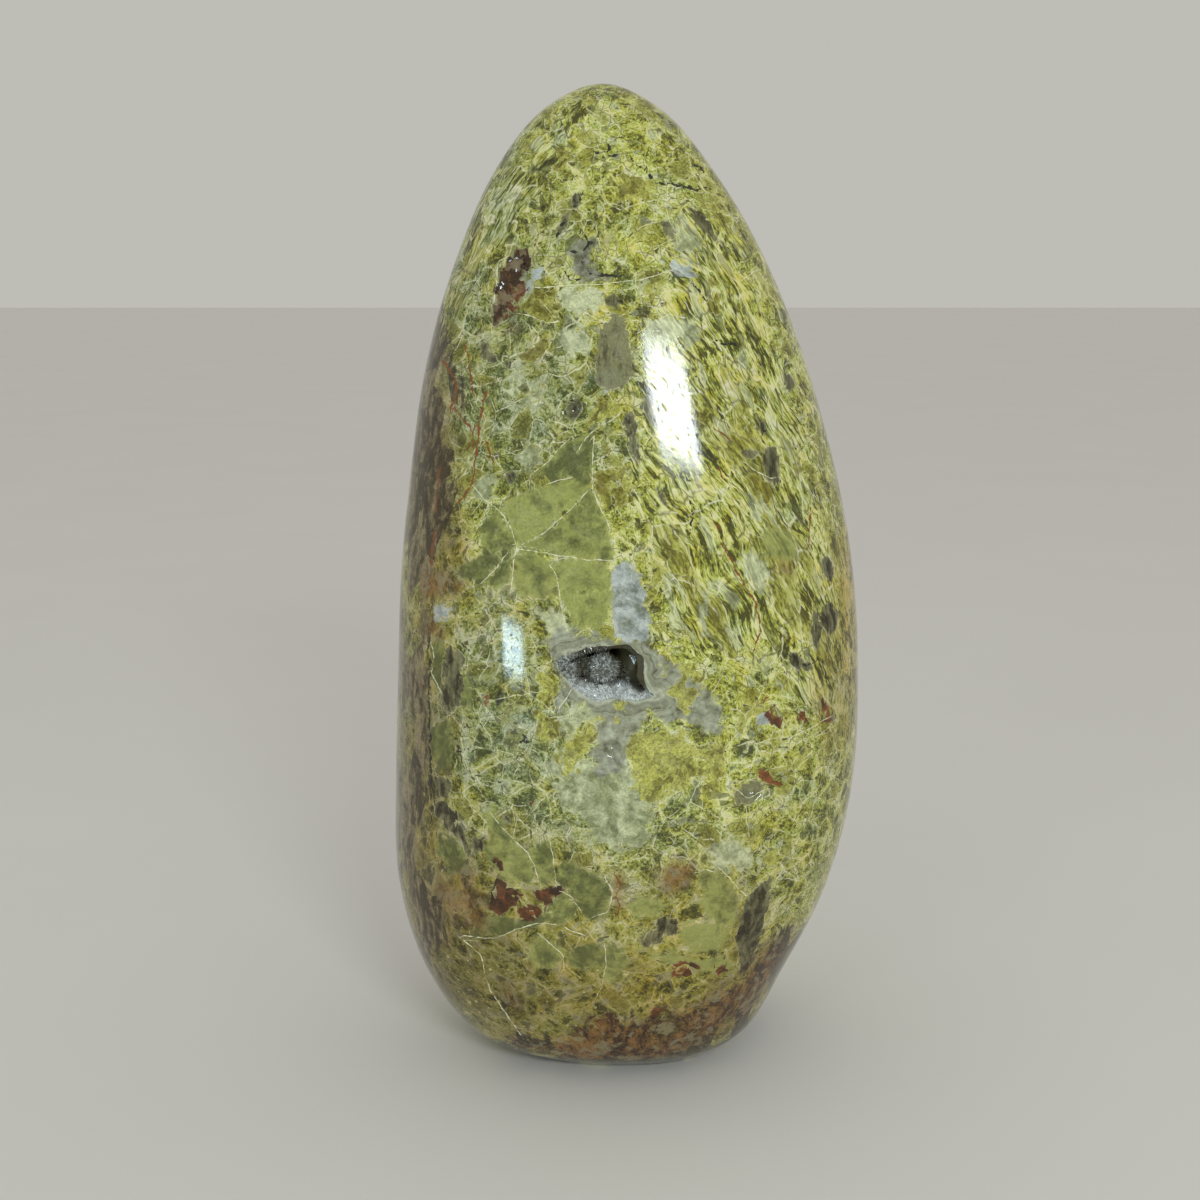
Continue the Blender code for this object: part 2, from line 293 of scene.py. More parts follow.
# Where the photograph shows each mineral, as outlines in its 1200 x 1200 frame.
# The first value of an outline is its tone, from 0 for the darkest of its kind.
PANES = (
    (0.0, (534, 472), (545, 465), (556, 452), (566, 440), (572, 437), (574, 447), (577, 458),
     (575, 470), (568, 478), (556, 484), (547, 478)),
    (0.25, (575, 440), (592, 433), (593, 470), (588, 486), (570, 480), (577, 465)),
    (0.95, (513, 500), (523, 492), (548, 487), (570, 480), (588, 487), (575, 502), (560, 517),
     (545, 532), (517, 545), (508, 520), (500, 508)),
    (0.5, (589, 492), (594, 492), (600, 510), (608, 522), (612, 540), (612, 560), (590, 560),
     (560, 556), (535, 550), (518, 547), (545, 533), (562, 516), (578, 502)),
    (0.35, (485, 520), (498, 510), (506, 520), (514, 535), (516, 547), (512, 570), (505, 590),
     (490, 588), (480, 583), (495, 570), (505, 554), (482, 552), (478, 535)),
    (0.1, (455, 572), (468, 562), (482, 553), (506, 554), (495, 570), (480, 583), (468, 581)),
    (0.6, (518, 549), (535, 553), (549, 562), (558, 580), (559, 592), (540, 597), (520, 597),
     (512, 591), (515, 570)),
    (0.75, (550, 562), (575, 560), (590, 562), (608, 562), (611, 575), (611, 590), (585, 592),
     (560, 592), (557, 575)),
    (0.95, (562, 593), (611, 591), (611, 615), (600, 628), (575, 627), (566, 612)),
    (0.0, (440, 835), (455, 838), (468, 850), (470, 865), (455, 875), (445, 865), (437, 850)),
    (0.55, (483, 850), (500, 828), (512, 838), (525, 852), (535, 870), (530, 884), (515, 885),
     (500, 872), (490, 865)),
    (0.3, (527, 850), (548, 838), (555, 855), (556, 880), (545, 886), (537, 880), (532, 862)),
    (0.15, (557, 880), (561, 862), (585, 868), (605, 878), (613, 895), (608, 912), (592, 918),
     (582, 910), (574, 896), (563, 890)),
    (0.3, (550, 906), (563, 892), (573, 900), (580, 912), (570, 922), (555, 922), (548, 914)),
    (0.0, (576, 905), (585, 893), (600, 900), (605, 912), (593, 917), (582, 912)),
    (0.05, (500, 916), (520, 920), (547, 914), (552, 922), (530, 926), (510, 932), (498, 935),
     (470, 937), (478, 920)),
    (0.5, (528, 940), (540, 935), (560, 950), (563, 962), (548, 970), (532, 965)),
    (0.1, (564, 956), (580, 945), (602, 942), (605, 960), (590, 970), (570, 966)),
    (0.6, (606, 942), (615, 945), (630, 955), (625, 970), (610, 985), (600, 978), (606, 960)),
    (0.55, (697, 876), (715, 868), (733, 884), (739, 900), (736, 925), (720, 925), (705, 918),
     (700, 900), (706, 890)),
    (0.8, (625, 905), (640, 895), (655, 898), (668, 905), (655, 915), (635, 920)),
    (1.0, (681, 926), (700, 921), (722, 923), (730, 936), (716, 950), (692, 955), (683, 940)),
    (0.9, (650, 955), (675, 950), (700, 962), (725, 957), (735, 966), (715, 973), (690, 966)),
    (0.9, (762, 530), (775, 527), (790, 532), (800, 545), (795, 560), (778, 560), (766, 550)),
    (0.0, (431, 642), (440, 640), (446, 655), (441, 672), (443, 695), (434, 690)),
    (0.0, (432, 722), (447, 720), (456, 735), (450, 765), (438, 772), (432, 750)),
    (0.2, (458, 684), (466, 680), (474, 695), (470, 712), (460, 708)),
    (0.6, (496, 838), (486, 815), (492, 806), (505, 826), (499, 829)),
)
AMBERS = (
    (0.1, (517, 312), (520, 300), (540, 290), (555, 290), (558, 303), (564, 315), (560, 322),
     (548, 322), (535, 318)),
    (0.1, (700, 290), (708, 292), (718, 297), (722, 306), (718, 318), (708, 316), (702, 305)),
    (0.4, (709, 278), (716, 280), (717, 292), (708, 290)),
    (0.0, (752, 478), (757, 470), (765, 480), (775, 492), (772, 502), (760, 498), (752, 490)),
    (0.1, (523, 361), (530, 345), (545, 335), (552, 342), (547, 352), (535, 358)),
    (0.5, (583, 430), (586, 408), (600, 400), (620, 403), (628, 410), (612, 420), (595, 428)),
    (0.15, (594, 470), (600, 462), (612, 466), (616, 485), (612, 505), (605, 510), (597, 492)),
    (0.25, (614, 468), (628, 470), (634, 485), (630, 505), (620, 512), (614, 505), (618, 486)),
    (0.3, (740, 425), (750, 418), (757, 430), (755, 445), (745, 440)),
    (1.0, (655, 667), (663, 665), (668, 672), (667, 680), (660, 680), (655, 674)),
    (0.7, (668, 690), (680, 684), (695, 688), (699, 700), (690, 712), (676, 709), (669, 700)),
    (1.0, (611, 706), (617, 703), (624, 706), (623, 716), (616, 723), (612, 716)),
    (0.35, (534, 676), (545, 668), (555, 672), (561, 688), (557, 702), (545, 712), (538, 700)),
    (0.3, (534, 702), (546, 714), (561, 725), (558, 740), (545, 742), (535, 730)),
    (0.5, (556, 757), (566, 742), (580, 735), (592, 728), (596, 740), (590, 752), (580, 765),
     (570, 780), (560, 776)),
    (0.75, (628, 740), (640, 733), (655, 730), (672, 728), (690, 735), (700, 748), (697, 770),
     (688, 790), (668, 800), (650, 808), (638, 795), (630, 775), (627, 755)),
    (0.55, (702, 745), (715, 738), (727, 750), (722, 775), (707, 792), (700, 775)),
    (0.8, (648, 722), (658, 719), (666, 728), (656, 734)),
    (0.8, (760, 852), (775, 846), (786, 858), (780, 870), (768, 868)),
    (0.45, (676, 666), (690, 662), (707, 670), (702, 684), (685, 682)),
    (0.5, (701, 203), (712, 200), (725, 212), (738, 232), (742, 250), (728, 240), (712, 222)),
    (0.25, (556, 150), (566, 148), (570, 160), (563, 175), (555, 168)),
    (0.55, (640, 175), (655, 185), (652, 200), (630, 205), (614, 200), (612, 180), (625, 172)),
)
SMOKES = (
    (0.15, (771, 875), (768, 882), (755, 885), (748, 897), (742, 905), (740, 920), (738, 930),
     (735, 938), (738, 948), (740, 965), (738, 975), (752, 965), (757, 950), (762, 935),
     (765, 915), (770, 900)),
    (0.1, (656, 922), (662, 918), (675, 917), (679, 930), (672, 938), (664, 936)),
    (0.3, (640, 940), (650, 930), (662, 927), (667, 935), (660, 942), (645, 948)),
    (0.3, (765, 446), (776, 447), (780, 460), (781, 475), (775, 488), (768, 480), (764, 465)),
    (0.3, (742, 452), (750, 449), (760, 452), (752, 459), (744, 458)),
    (0.0, (759, 418), (764, 420), (768, 430), (763, 436), (759, 428)),
    (0.1, (821, 556), (832, 557), (834, 570), (832, 581), (824, 578), (820, 566)),
    (0.25, (812, 610), (818, 604), (821, 620), (820, 640), (816, 651), (811, 640)),
    (0.05, (821, 607), (830, 604), (839, 612), (837, 628), (830, 638), (824, 625)),
    (0.2, (784, 375), (790, 374), (795, 382), (793, 392), (786, 390)),
    (0.15, (683, 203), (696, 208), (708, 220), (718, 236), (726, 250), (717, 245), (704, 231),
     (692, 216)),
    (0.5, (662, 222), (668, 222), (676, 232), (678, 243), (670, 242), (663, 232)),
    (0.4, (645, 396), (651, 398), (655, 412), (655, 428), (648, 420), (644, 408)),
    (0.45, (628, 440), (634, 437), (640, 450), (642, 465), (636, 462), (630, 452)),
    (0.1, (655, 486), (661, 487), (668, 497), (669, 508), (661, 505), (656, 496)),
    (0.35, (624, 415), (632, 412), (637, 424), (635, 438), (628, 436), (623, 426)),
    (0.8, (597, 350), (602, 325), (612, 314), (626, 318), (631, 345), (634, 372), (626, 386),
     (610, 391), (597, 384), (594, 370)),
    (0.15, (605, 299), (614, 292), (622, 303), (617, 308), (607, 306)),
    (0.2, (563, 408), (570, 401), (580, 403), (583, 411), (575, 418), (566, 415)),
    (0.5, (478, 343), (485, 338), (490, 350), (499, 358), (494, 363), (482, 358)),
    (0.0, (505, 362), (511, 361), (513, 366), (507, 370)),
    (0.2, (789, 653), (796, 652), (806, 660), (818, 668), (808, 672), (798, 668), (791, 662)),
    (0.0, (437, 803), (445, 801), (456, 812), (457, 822), (448, 824), (440, 816)),
    (0.1, (471, 838), (478, 838), (484, 846), (481, 853), (473, 852)),
    (0.1, (576, 192), (583, 193), (582, 204), (575, 208), (570, 203)),
    (0.45, (562, 214), (570, 212), (569, 224), (561, 236), (556, 238), (558, 225)),
    (0.9, (734, 792), (742, 783), (757, 781), (766, 785), (762, 796), (750, 805), (738, 804)),
    (0.6, (504, 476), (512, 468), (516, 478), (509, 484)),
    (0.3, (446, 643), (459, 650), (465, 658), (461, 670), (463, 690), (458, 705), (455, 714),
     (445, 712), (438, 700), (443, 680), (444, 660)),
    (0.2, (431, 773), (445, 776), (452, 786), (447, 800), (437, 795)),
    (0.1, (434, 800), (440, 808), (450, 820), (462, 830), (470, 845), (471, 862), (465, 855),
     (460, 840), (448, 830), (436, 816)),
)
PALES = (
    (0.9, (557, 287), (580, 286), (606, 288), (604, 300), (600, 318), (590, 312), (578, 322),
     (570, 312), (562, 306)),
    (0.7, (563, 332), (575, 328), (590, 333), (591, 345), (585, 355), (570, 357), (562, 348)),
    (0.85, (505, 385), (508, 374), (518, 366), (524, 372), (521, 385), (512, 397), (506, 394)),
    (0.5, (524, 385), (535, 376), (545, 380), (545, 398), (535, 408), (526, 400)),
    (0.2, (473, 490), (480, 472), (490, 465), (497, 475), (494, 490), (486, 503), (477, 500)),
    (0.3, (516, 455), (525, 445), (537, 448), (540, 460), (530, 468), (520, 466)),
    (0.45, (560, 745), (590, 760), (620, 755), (640, 770), (650, 800), (640, 830), (610, 835),
     (580, 825), (560, 800), (550, 770)),
    (0.35, (600, 768), (640, 775), (655, 800), (650, 840), (620, 850), (590, 840), (575, 810),
     (585, 785)),
    (0.7, (595, 700), (610, 705), (606, 715), (590, 722), (570, 735), (560, 728), (565, 712),
     (580, 702)),
    (0.7, (705, 848), (725, 842), (755, 850), (760, 862), (740, 870), (722, 868), (708, 860)),
    # This pale patch lies on the soft top of the window light's reflection: a painted reflection.
    (0.7, (640, 322), (660, 314), (690, 318), (702, 332), (690, 345), (655, 350), (643, 338)),
    (0.3, (745, 492), (755, 493), (763, 507), (765, 520), (757, 522), (748, 508)),
    (0.6, (702, 585), (715, 583), (712, 605), (700, 640), (694, 636), (702, 608)),
    (0.6, (735, 560), (750, 553), (765, 562), (770, 580), (760, 590), (745, 580)),
    (0.8, (560, 605), (575, 640), (590, 652), (560, 650), (548, 630), (545, 612)),
    (0.45, (680, 212), (690, 225), (700, 245), (690, 262), (678, 250), (674, 228)),
)
LENSES = (
    (0.45, (611, 565), (622, 560), (634, 566), (642, 580), (648, 600), (650, 622), (646, 640),
     (630, 642), (615, 638), (609, 615), (610, 590)),
    (1.0, (610, 342), (615, 334), (620, 336), (621, 347), (622, 358), (615, 361), (616, 350)),
    # This blue-white patch inside the brown pit is a painted reflection of the window light.
    (0.8, (524, 291), (527, 280), (533, 271), (541, 268), (541, 275), (535, 282), (529, 292)),
    (0.9, (660, 258), (675, 262), (690, 268), (698, 276), (688, 278), (672, 272)),
    (0.6, (598, 374), (608, 368), (620, 372), (627, 380), (620, 389), (606, 391), (597, 384)),
    (0.7, (742, 792), (750, 788), (756, 792), (750, 800), (744, 798)),
    (0.5, (440, 602), (450, 606), (448, 618), (438, 622), (434, 612)),
    (0.6, (757, 715), (766, 712), (770, 722), (762, 726), (756, 722)),
)
AGATES = (
    (0.5, (545, 640), (560, 628), (585, 632), (612, 640), (640, 640), (655, 650), (672, 662),
     (690, 672), (708, 690), (722, 705), (722, 735), (705, 735), (690, 722), (665, 722),
     (650, 712), (640, 725), (632, 745), (625, 770), (600, 775), (590, 760), (597, 735),
     (600, 720), (585, 705), (565, 705), (556, 712), (552, 695), (562, 682), (555, 668),
     (547, 655)),
    (0.3, (567, 252), (578, 240), (592, 236), (598, 246), (588, 262), (602, 274), (618, 276),
     (600, 280), (580, 282), (570, 270)),
)
REDS = (
    (0.15, (494, 312), (497, 288), (504, 268), (513, 255), (524, 250), (533, 253), (531, 262),
     (524, 275), (516, 290), (508, 305), (500, 322), (495, 328)),
    (1.0, (506, 300), (512, 290), (518, 282), (526, 279), (523, 292), (514, 306), (505, 318)),
    (0.3, (497, 879), (505, 885), (515, 893), (522, 898), (515, 908), (500, 914), (492, 908),
     (493, 892)),
    (0.5, (536, 888), (550, 886), (560, 886), (565, 890), (555, 897), (545, 903), (537, 897)),
    (0.5, (515, 905), (530, 907), (540, 912), (535, 919), (520, 918)),
    (0.5, (494, 859), (500, 862), (499, 868), (495, 866)),
    (0.6, (672, 968), (685, 963), (696, 968), (688, 975), (675, 978)),
    (0.5, (716, 965), (724, 964), (726, 975), (719, 980)),
    (0.6, (650, 1005), (660, 1000), (664, 1008), (655, 1018), (646, 1015)),
    (0.2, (590, 1018), (610, 1014), (625, 1020), (615, 1028), (598, 1030)),
    (1.0, (483, 697), (489, 696), (490, 704), (485, 707)),
    (0.8, (766, 698), (772, 702), (775, 715), (784, 726), (776, 728), (768, 712)),
    (0.9, (800, 712), (806, 714), (805, 720), (800, 718)),
    (0.9, (824, 700), (829, 706), (828, 720), (824, 718)),
    (1.0, (755, 770), (763, 768), (773, 776), (780, 783), (770, 782), (760, 778)),
    (1.0, (526, 798), (531, 799), (530, 804), (526, 804)),
)
STAINS = (
    (0.6, (455, 865), (470, 862), (480, 880), (485, 905), (490, 930), (478, 936), (465, 925),
     (458, 900)),
    (0.5, (498, 990), (510, 985), (522, 1000), (530, 1015), (515, 1020), (503, 1005)),
    (0.5, (502, 1026), (530, 1040), (560, 1034), (585, 1020), (610, 1012), (640, 1016),
     (690, 1000), (735, 976), (760, 945), (795, 925), (800, 950), (765, 1008), (722, 1036),
     (680, 1060), (640, 1075), (590, 1072), (540, 1060), (505, 1044)),
    (0.4, (418, 572), (440, 568), (460, 576), (472, 588), (455, 597), (440, 602), (420, 602)),
    (0.9, (421, 622), (435, 620), (450, 628), (452, 640), (435, 640), (424, 635)),
    (0.0, (494, 312), (496, 290), (503, 270), (512, 255), (524, 248), (535, 252), (536, 262),
     (531, 275), (524, 292), (515, 308), (505, 322), (496, 330)),
    (1.0, (603, 233), (607, 240), (609, 256), (605, 254), (602, 243)),
    (0.8, (655, 868), (675, 858), (692, 860), (698, 872), (688, 888), (668, 903), (656, 890)),
    (0.7, (612, 875), (622, 873), (620, 890), (625, 905), (618, 915), (612, 900)),
    (0.9, (775, 555), (795, 562), (790, 578), (778, 570)),
    (0.2, (500, 323), (512, 318), (519, 328), (513, 338), (503, 335)),
    (0.7, (440, 885), (452, 882), (462, 900), (458, 920), (446, 912)),
)

# Cream cracks, dark fissures and rust veins, as lines in the same frame.
CRACKS = (
    ((516, 547), (512, 530), (505, 518), (496, 507), (484, 500), (473, 485)),
    ((516, 547), (530, 541), (545, 533), (563, 516), (578, 502), (587, 492)),
    ((516, 547), (513, 570), (511, 591)),
    ((518, 549), (534, 551), (560, 556), (591, 560), (610, 560)),
    ((549, 562), (557, 578), (560, 600), (564, 618), (568, 632)),
    ((507, 554), (495, 570), (482, 583)),
    ((593, 492), (592, 470), (593, 450), (595, 435)),
    ((594, 492), (600, 508), (608, 522), (612, 535)),
    ((578, 450), (584, 440), (595, 430), (610, 421), (622, 412)),
    ((534, 472), (548, 462), (560, 448), (570, 438)),
    ((549, 484), (560, 480), (570, 478)),
    ((536, 288), (560, 286), (600, 284), (640, 280), (660, 274), (676, 268)),
    ((600, 165), (602, 190), (607, 203), (620, 210), (640, 203), (670, 198)),
    ((465, 936), (480, 938), (497, 938), (515, 930), (538, 923), (561, 925), (575, 932),
     (586, 936)),
    ((458, 936), (470, 946), (481, 955), (484, 972), (490, 990), (500, 1005), (510, 1020),
     (522, 1036)),
    ((486, 807), (500, 825), (515, 841), (528, 853), (535, 866), (538, 879)),
    ((548, 835), (553, 855), (556, 884)),
    ((562, 892), (572, 897), (580, 910)),
    ((605, 878), (613, 893), (608, 912), (590, 918)),
    ((540, 935), (552, 945), (563, 955), (564, 968)),
    ((605, 945), (606, 965), (602, 985), (597, 995)),
    ((717, 867), (730, 878), (738, 888), (745, 895)),
    ((695, 873), (705, 869), (713, 872)),
    ((730, 276), (738, 282), (745, 278), (757, 270)),
    ((505, 668), (513, 680), (520, 688), (533, 697), (545, 705), (556, 715)),
    ((571, 690), (565, 700), (558, 710)),
    ((512, 248), (508, 256), (498, 262), (497, 275), (494, 300)),
    ((786, 740), (800, 733), (814, 726), (829, 717)),
    ((640, 332), (655, 320), (670, 314), (684, 318)),
    ((430, 640), (434, 655), (431, 672), (440, 690)),
    ((540, 300), (550, 312), (560, 322), (548, 323), (530, 316), (518, 313)),
    ((578, 322), (585, 312), (595, 318), (604, 322)),
    ((745, 462), (757, 472), (770, 478), (779, 478)),
    ((738, 790), (748, 799), (757, 793), (764, 790)),
)
FISSURES = (
    ((628, 136), (618, 138), (611, 141), (608, 152)),
    ((594, 153), (603, 156), (616, 156)),
    ((631, 157), (634, 164), (640, 168)),
    ((649, 175), (657, 183), (664, 184)),
    ((666, 181), (683, 187), (697, 190), (704, 187), (711, 190)),
    ((694, 163), (701, 167), (704, 173)),
    ((582, 194), (578, 203), (572, 206), (574, 212)),
    ((563, 222), (558, 232), (556, 240)),
    ((563, 251), (575, 252)),
    ((586, 236), (592, 244), (584, 253), (582, 262), (590, 272), (600, 276), (619, 276)),
    ((566, 274), (570, 280), (578, 279)),
    ((694, 285), (702, 293), (705, 300)),
    ((690, 500), (693, 515), (690, 530)),
    ((683, 473), (688, 480)),
    ((762, 424), (764, 434)),
    ((789, 655), (797, 662), (806, 668), (818, 660)),
    ((716, 340), (724, 344), (730, 343), (738, 346)),
    ((452, 735), (460, 742), (458, 752), (466, 750)),
    ((429, 640), (429, 700), (430, 760), (431, 820)),
    ((523, 733), (530, 742), (522, 742), (523, 733)),
)
VEINS = (
    ((485, 392), (482, 410), (478, 435), (475, 460), (472, 483), (465, 497), (458, 503)),
    ((456, 410), (463, 420), (471, 427), (473, 437), (469, 449)),
    ((487, 443), (490, 455), (492, 462)),
    ((444, 362), (455, 380), (456, 395), (450, 410)),
    ((465, 345), (470, 370), (473, 395)),
    ((711, 513), (714, 522), (719, 528)),
    ((722, 545), (730, 558), (738, 575), (748, 590), (755, 603), (759, 615)),
    ((759, 615), (761, 631), (754, 649)),
    ((715, 430), (722, 433), (730, 440)),
    ((719, 470), (722, 478)),
    ((810, 510), (810, 525), (808, 545)),
    ((615, 875), (620, 885), (616, 895), (620, 905), (618, 915)),
    ((440, 470), (437, 490), (436, 510)),
    ((436, 530), (433, 548), (431, 565)),
)

MATH = 'ShaderNodeMath'
MIX = 'ShaderNodeMix'
NOISE = 'ShaderNodeTexNoise'
CELLS = 'ShaderNodeTexVoronoi'
RANGE = 'ShaderNodeMapRange'
VECTOR = 'ShaderNodeVectorMath'
RAMP = 'ShaderNodeValToRGB'
ATTRIBUTE = 'ShaderNodeAttribute'

# Each mineral: the attribute that places it; its dark and light colours; how fully it
# covers the ground; how far noise, chips and scallops push its edge, and how soft that is,
# in mm; how much of the moss's grain it shows; its pattern, and how far that varies its
# tone; how much lighter it gets towards its edge; and its pale rim's half width in mm and
# strength.
Mineral = namedtuple(
    "Mineral",
    "field dark light cover rough chips scallops soft grain pattern vary halo rim rim_strength",
)
MINERALS = (
    Mineral("breccia", "breccia_dark", "breccia_light",
            0.92, 9.0, 1.0, 0.0, 0.60, 1.4, "blocks", 3.0, 0.0, 0.05, 0.0),
    Mineral("pale", "milk_dark", "milk_light",
            0.86, 2.6, 1.4, 1.2, 0.45, 0.9, "cloud", 2.0, 0.2, 0.05, 0.4),
    Mineral("agate", "agate_dark", "agate_light",
            0.92, 2.8, 0.0, 1.6, 0.60, 0.35, "bands", 1.8, 0.0, 0.08, 0.0),
    Mineral("lens", "lens_dark", "lens_light",
            0.90, 1.4, 0.6, 0.8, 0.25, 0.5, "cloud", 2.2, 0.3, 0.06, 0.6),
    Mineral("amber", "amber_dark", "amber_light",
            0.85, 1.6, 0.6, 1.8, 0.16, 2.2, "cloud", 1.5, 0.5, 0.07, 0.8),
    Mineral("pane", "pane_dark", "pane_light",
            0.90, 1.4, 0.6, 0.0, 0.30, 0.7, "cloud", 1.6, 0.3, 0.05, 0.25),
    Mineral("smoke", "smoke_dark", "smoke_light",
            0.94, 1.0, 0.5, 0.0, 0.20, 0.8, "streaks", 2.0, 0.5, 0.05, 0.7),
    Mineral("red", "rust_dark", "rust_light",
            0.95, 1.6, 1.0, 0.0, 0.16, 1.6, "cloud", 1.6, 0.0, 0.05, 0.3),
)
HALO_REACH = 0.9


def linear(shade):
    """Turn an sRGB hex colour to linear red, green and blue."""
    parts = [int(shade[i:i + 2], 16) / 255 for i in (1, 3, 5)]
    return [p / 12.92 if p <= 0.04045 else ((p + 0.055) / 1.055) ** 2.4 for p in parts]


def add(tree, kind, inputs=(), out=0, stops=(), **settings):
    """Add a node with its settings, values, links and colour stops; return one output."""
    node = tree.nodes.new(kind)
    for name, value in settings.items():
        setattr(node, name, value)
    for key, value in inputs.items() if isinstance(inputs, dict) else enumerate(inputs):
        if isinstance(value, (bpy.types.NodeSocket, list)):
            for source in value if isinstance(value, list) else [value]:
                tree.links.new(source, node.inputs[key])
        else:
            node.inputs[key].default_value = value
    for i, (place, colour) in enumerate(stops):
        elements = node.color_ramp.elements
        element = elements[i] if i < 2 else elements.new(place)
        element.position = place
        element.color = colour
    return node.outputs[out] if node.outputs else None


def new_object(name, points, faces, material=None):
    """Link a mesh object made from points in mm."""
    mesh = bpy.data.meshes.new(name)
    mesh.from_pydata(np.asarray(points) * MM, [], faces)
    mesh.update()
    obj = bpy.data.objects.new(name, mesh)
    bpy.context.collection.objects.link(obj)
    if material:
        mesh.materials.append(material)
    return obj


def remove(*objects):
    """Delete helper objects."""
    for obj in objects:
        bpy.data.objects.remove(obj, do_unlink=True)


def bake(obj):
    """Apply an object's modifiers to its mesh."""
    shown = obj.evaluated_get(bpy.context.evaluated_depsgraph_get())
    obj.data = bpy.data.meshes.new_from_object(shown)
    obj.modifiers.clear()


def tube_faces(rings, count):
    """Return the quads of a tube of rings that each have count points."""
    low = np.arange(rings - 1)[:, None] * count + np.arange(count)
    high = np.arange(rings - 1)[:, None] * count + np.roll(np.arange(count), -1)
    return np.stack([low, high, high + count, low + count], axis=2).reshape(-1, 4).tolist()


def fan_faces(ring, middle):
    """Return the triangles that close a ring of points with a middle point."""
    return [(a, b, middle) for a, b in zip(ring, ring[1:] + ring[:1])]


def outline():
    """Return rows of height and reaches, evenly spaced up the stone's side."""
    stations = np.array(STATIONS)
    # Past the tip the outline goes down the other side, so that the tip is round.
    beyond = stations[-2][[0, 2, 1, 4, 3]] * (1, -1, -1, -1, -1)
    points = np.vstack([stations, beyond])
    steps = np.hypot(np.diff(points[:, 0]), np.diff((points[:, 1] + points[:, 2]) / 2))
    knots = np.concatenate([[0.0], np.cumsum(np.sqrt(steps))])
    slopes = np.gradient(points, knots, axis=0)
    s = np.linspace(0, 1, SAMPLES_PER_SPAN, endpoint=False)[:, None]
    rows = []
    for i in range(len(stations) - 1):
        span = knots[i + 1] - knots[i]
        rows.append(
            (1 + 2 * s) * (1 - s) ** 2 * points[i]
            + s * (1 - s) ** 2 * span * slopes[i]
            + s ** 2 * (3 - 2 * s) * points[i + 1]
            + s ** 2 * (s - 1) * span * slopes[i + 1]
        )
    rows = np.vstack(rows + [stations[-1:]])
    steps = np.hypot(np.diff(rows[:, 0]), np.diff((rows[:, 1] + rows[:, 2]) / 2))
    along = np.concatenate([[0.0], np.cumsum(steps)])
    even = np.linspace(0.0, along[-1], RINGS + 1)
    return np.stack([np.interp(even, along, column) for column in rows.T], axis=1)


def stone_rings():
    """Return the stone's rings of points, in mm, from the flat to the tip."""
    s = 2 * np.pi * np.arange(SEGMENTS) / SEGMENTS
    turn = s - FRONT_SHARE * np.cos(s)
    across = np.cos(turn)
    along = np.sin(turn)
    size = (np.abs(across) ** SQUARENESS + np.abs(along) ** SQUARENESS) ** (-1 / SQUARENESS)
    rings = []
    for height, left, right, front, back in outline():
        ring = np.stack([
            (right - left) / 2 + (right + left) / 2 * size * across,
            (back - front) / 2 + (back + front) / 2 * size * along,
            np.full(SEGMENTS, height),
        ], axis=1)
        lump = LUMP_HEIGHT * min(1.0, height / LUMPS_START)
        lumps = np.array([noise.noise(Vector(point) / LUMP_SPACING) for point in ring]) * lump
        rings.append(ring + np.stack([across, along, np.zeros(SEGMENTS)], axis=1) * lumps[:, None])
    return np.array(rings)


def stone_body(name):
    """Make the whole stone, before its pits and hollow, inside the model's box."""
    rings = stone_rings()
    foot = rings[0].mean(axis=0)
    shares = np.linspace(0, 1, FOOT_RINGS, endpoint=False)[1:, None, None]
    rings = np.concatenate([foot + (rings[0] - foot) * shares, rings])
    tip = rings[-1].mean(axis=0)
    points = np.concatenate([rings[:-1].reshape(-1, 3), [foot, tip]])
    low, high = points.min(axis=0), points.max(axis=0)
    box = np.array(CAD_BOX) / MM
    points[:, :2] -= ((low + high) / 2)[:2]
    points *= np.minimum(1.0, (box[1] - box[0]) / (high - low))
    count = len(points) - 2
    faces = tube_faces(len(rings) - 1, SEGMENTS)
    faces += fan_faces(list(range(SEGMENTS))[::-1], count)
    faces += fan_faces(list(range(count - SEGMENTS, count)), count + 1)
    return new_object(name, points, faces)


def front_place(stone, x, z):
    """Return the stone's front point at x and z, in mm, and the way in there."""
    hit, point, normal, _ = stone.ray_cast(Vector((x, -100.0, z)) * MM, Vector((0, 1, 0)))
    if not hit:
        raise ValueError(f"the stone has no front at {x}, {z}")
    return point / MM, -normal


def press_pits(stone):
    """Push the shallow pits into the stone's front."""
    places = [(pit, *front_place(stone, *pit[:2])) for pit in PITS]
    for (x, z, width, height, depth), point, inward in places:
        across = Vector((1, 0, 0))
        up = across.cross(inward).normalized()
        for vertex in stone.data.vertices:
            away = vertex.co / MM - point
            if away.length > height:
                continue
            right, high = away.dot(across) / width * 2, away.dot(up) / height * 2
            lump = 1 + PIT_LUMPS * noise.noise(vertex.co / MM * 1.1)
            lump += PIT_LUMPS / 2 * noise.noise(vertex.co / MM * 3.0)
            share = 1 - (right * right + high * high) / (lump * lump)
            if share > 0:
                vertex.co += inward * depth * share ** 0.75 * MM


def smooth_mouth():
    """Return the hollow's mouth as a smooth closed curve through its points."""
    points = np.array(HOLLOW_MOUTH)
    s = np.linspace(0, 1, MOUTH_POINTS_PER_SIDE, endpoint=False)[:, None]
    curve = []
    for i in range(len(points)):
        a, b, c, d = (points[(i + k) % len(points)] for k in (-1, 0, 1, 2))
        curve.append(
            b + s * (c - a) / 2 + s ** 2 * (a - 2.5 * b + 2 * c - d / 2)
            + s ** 3 * (1.5 * (b - c) + (d - a) / 2)
        )
    return np.vstack(curve)


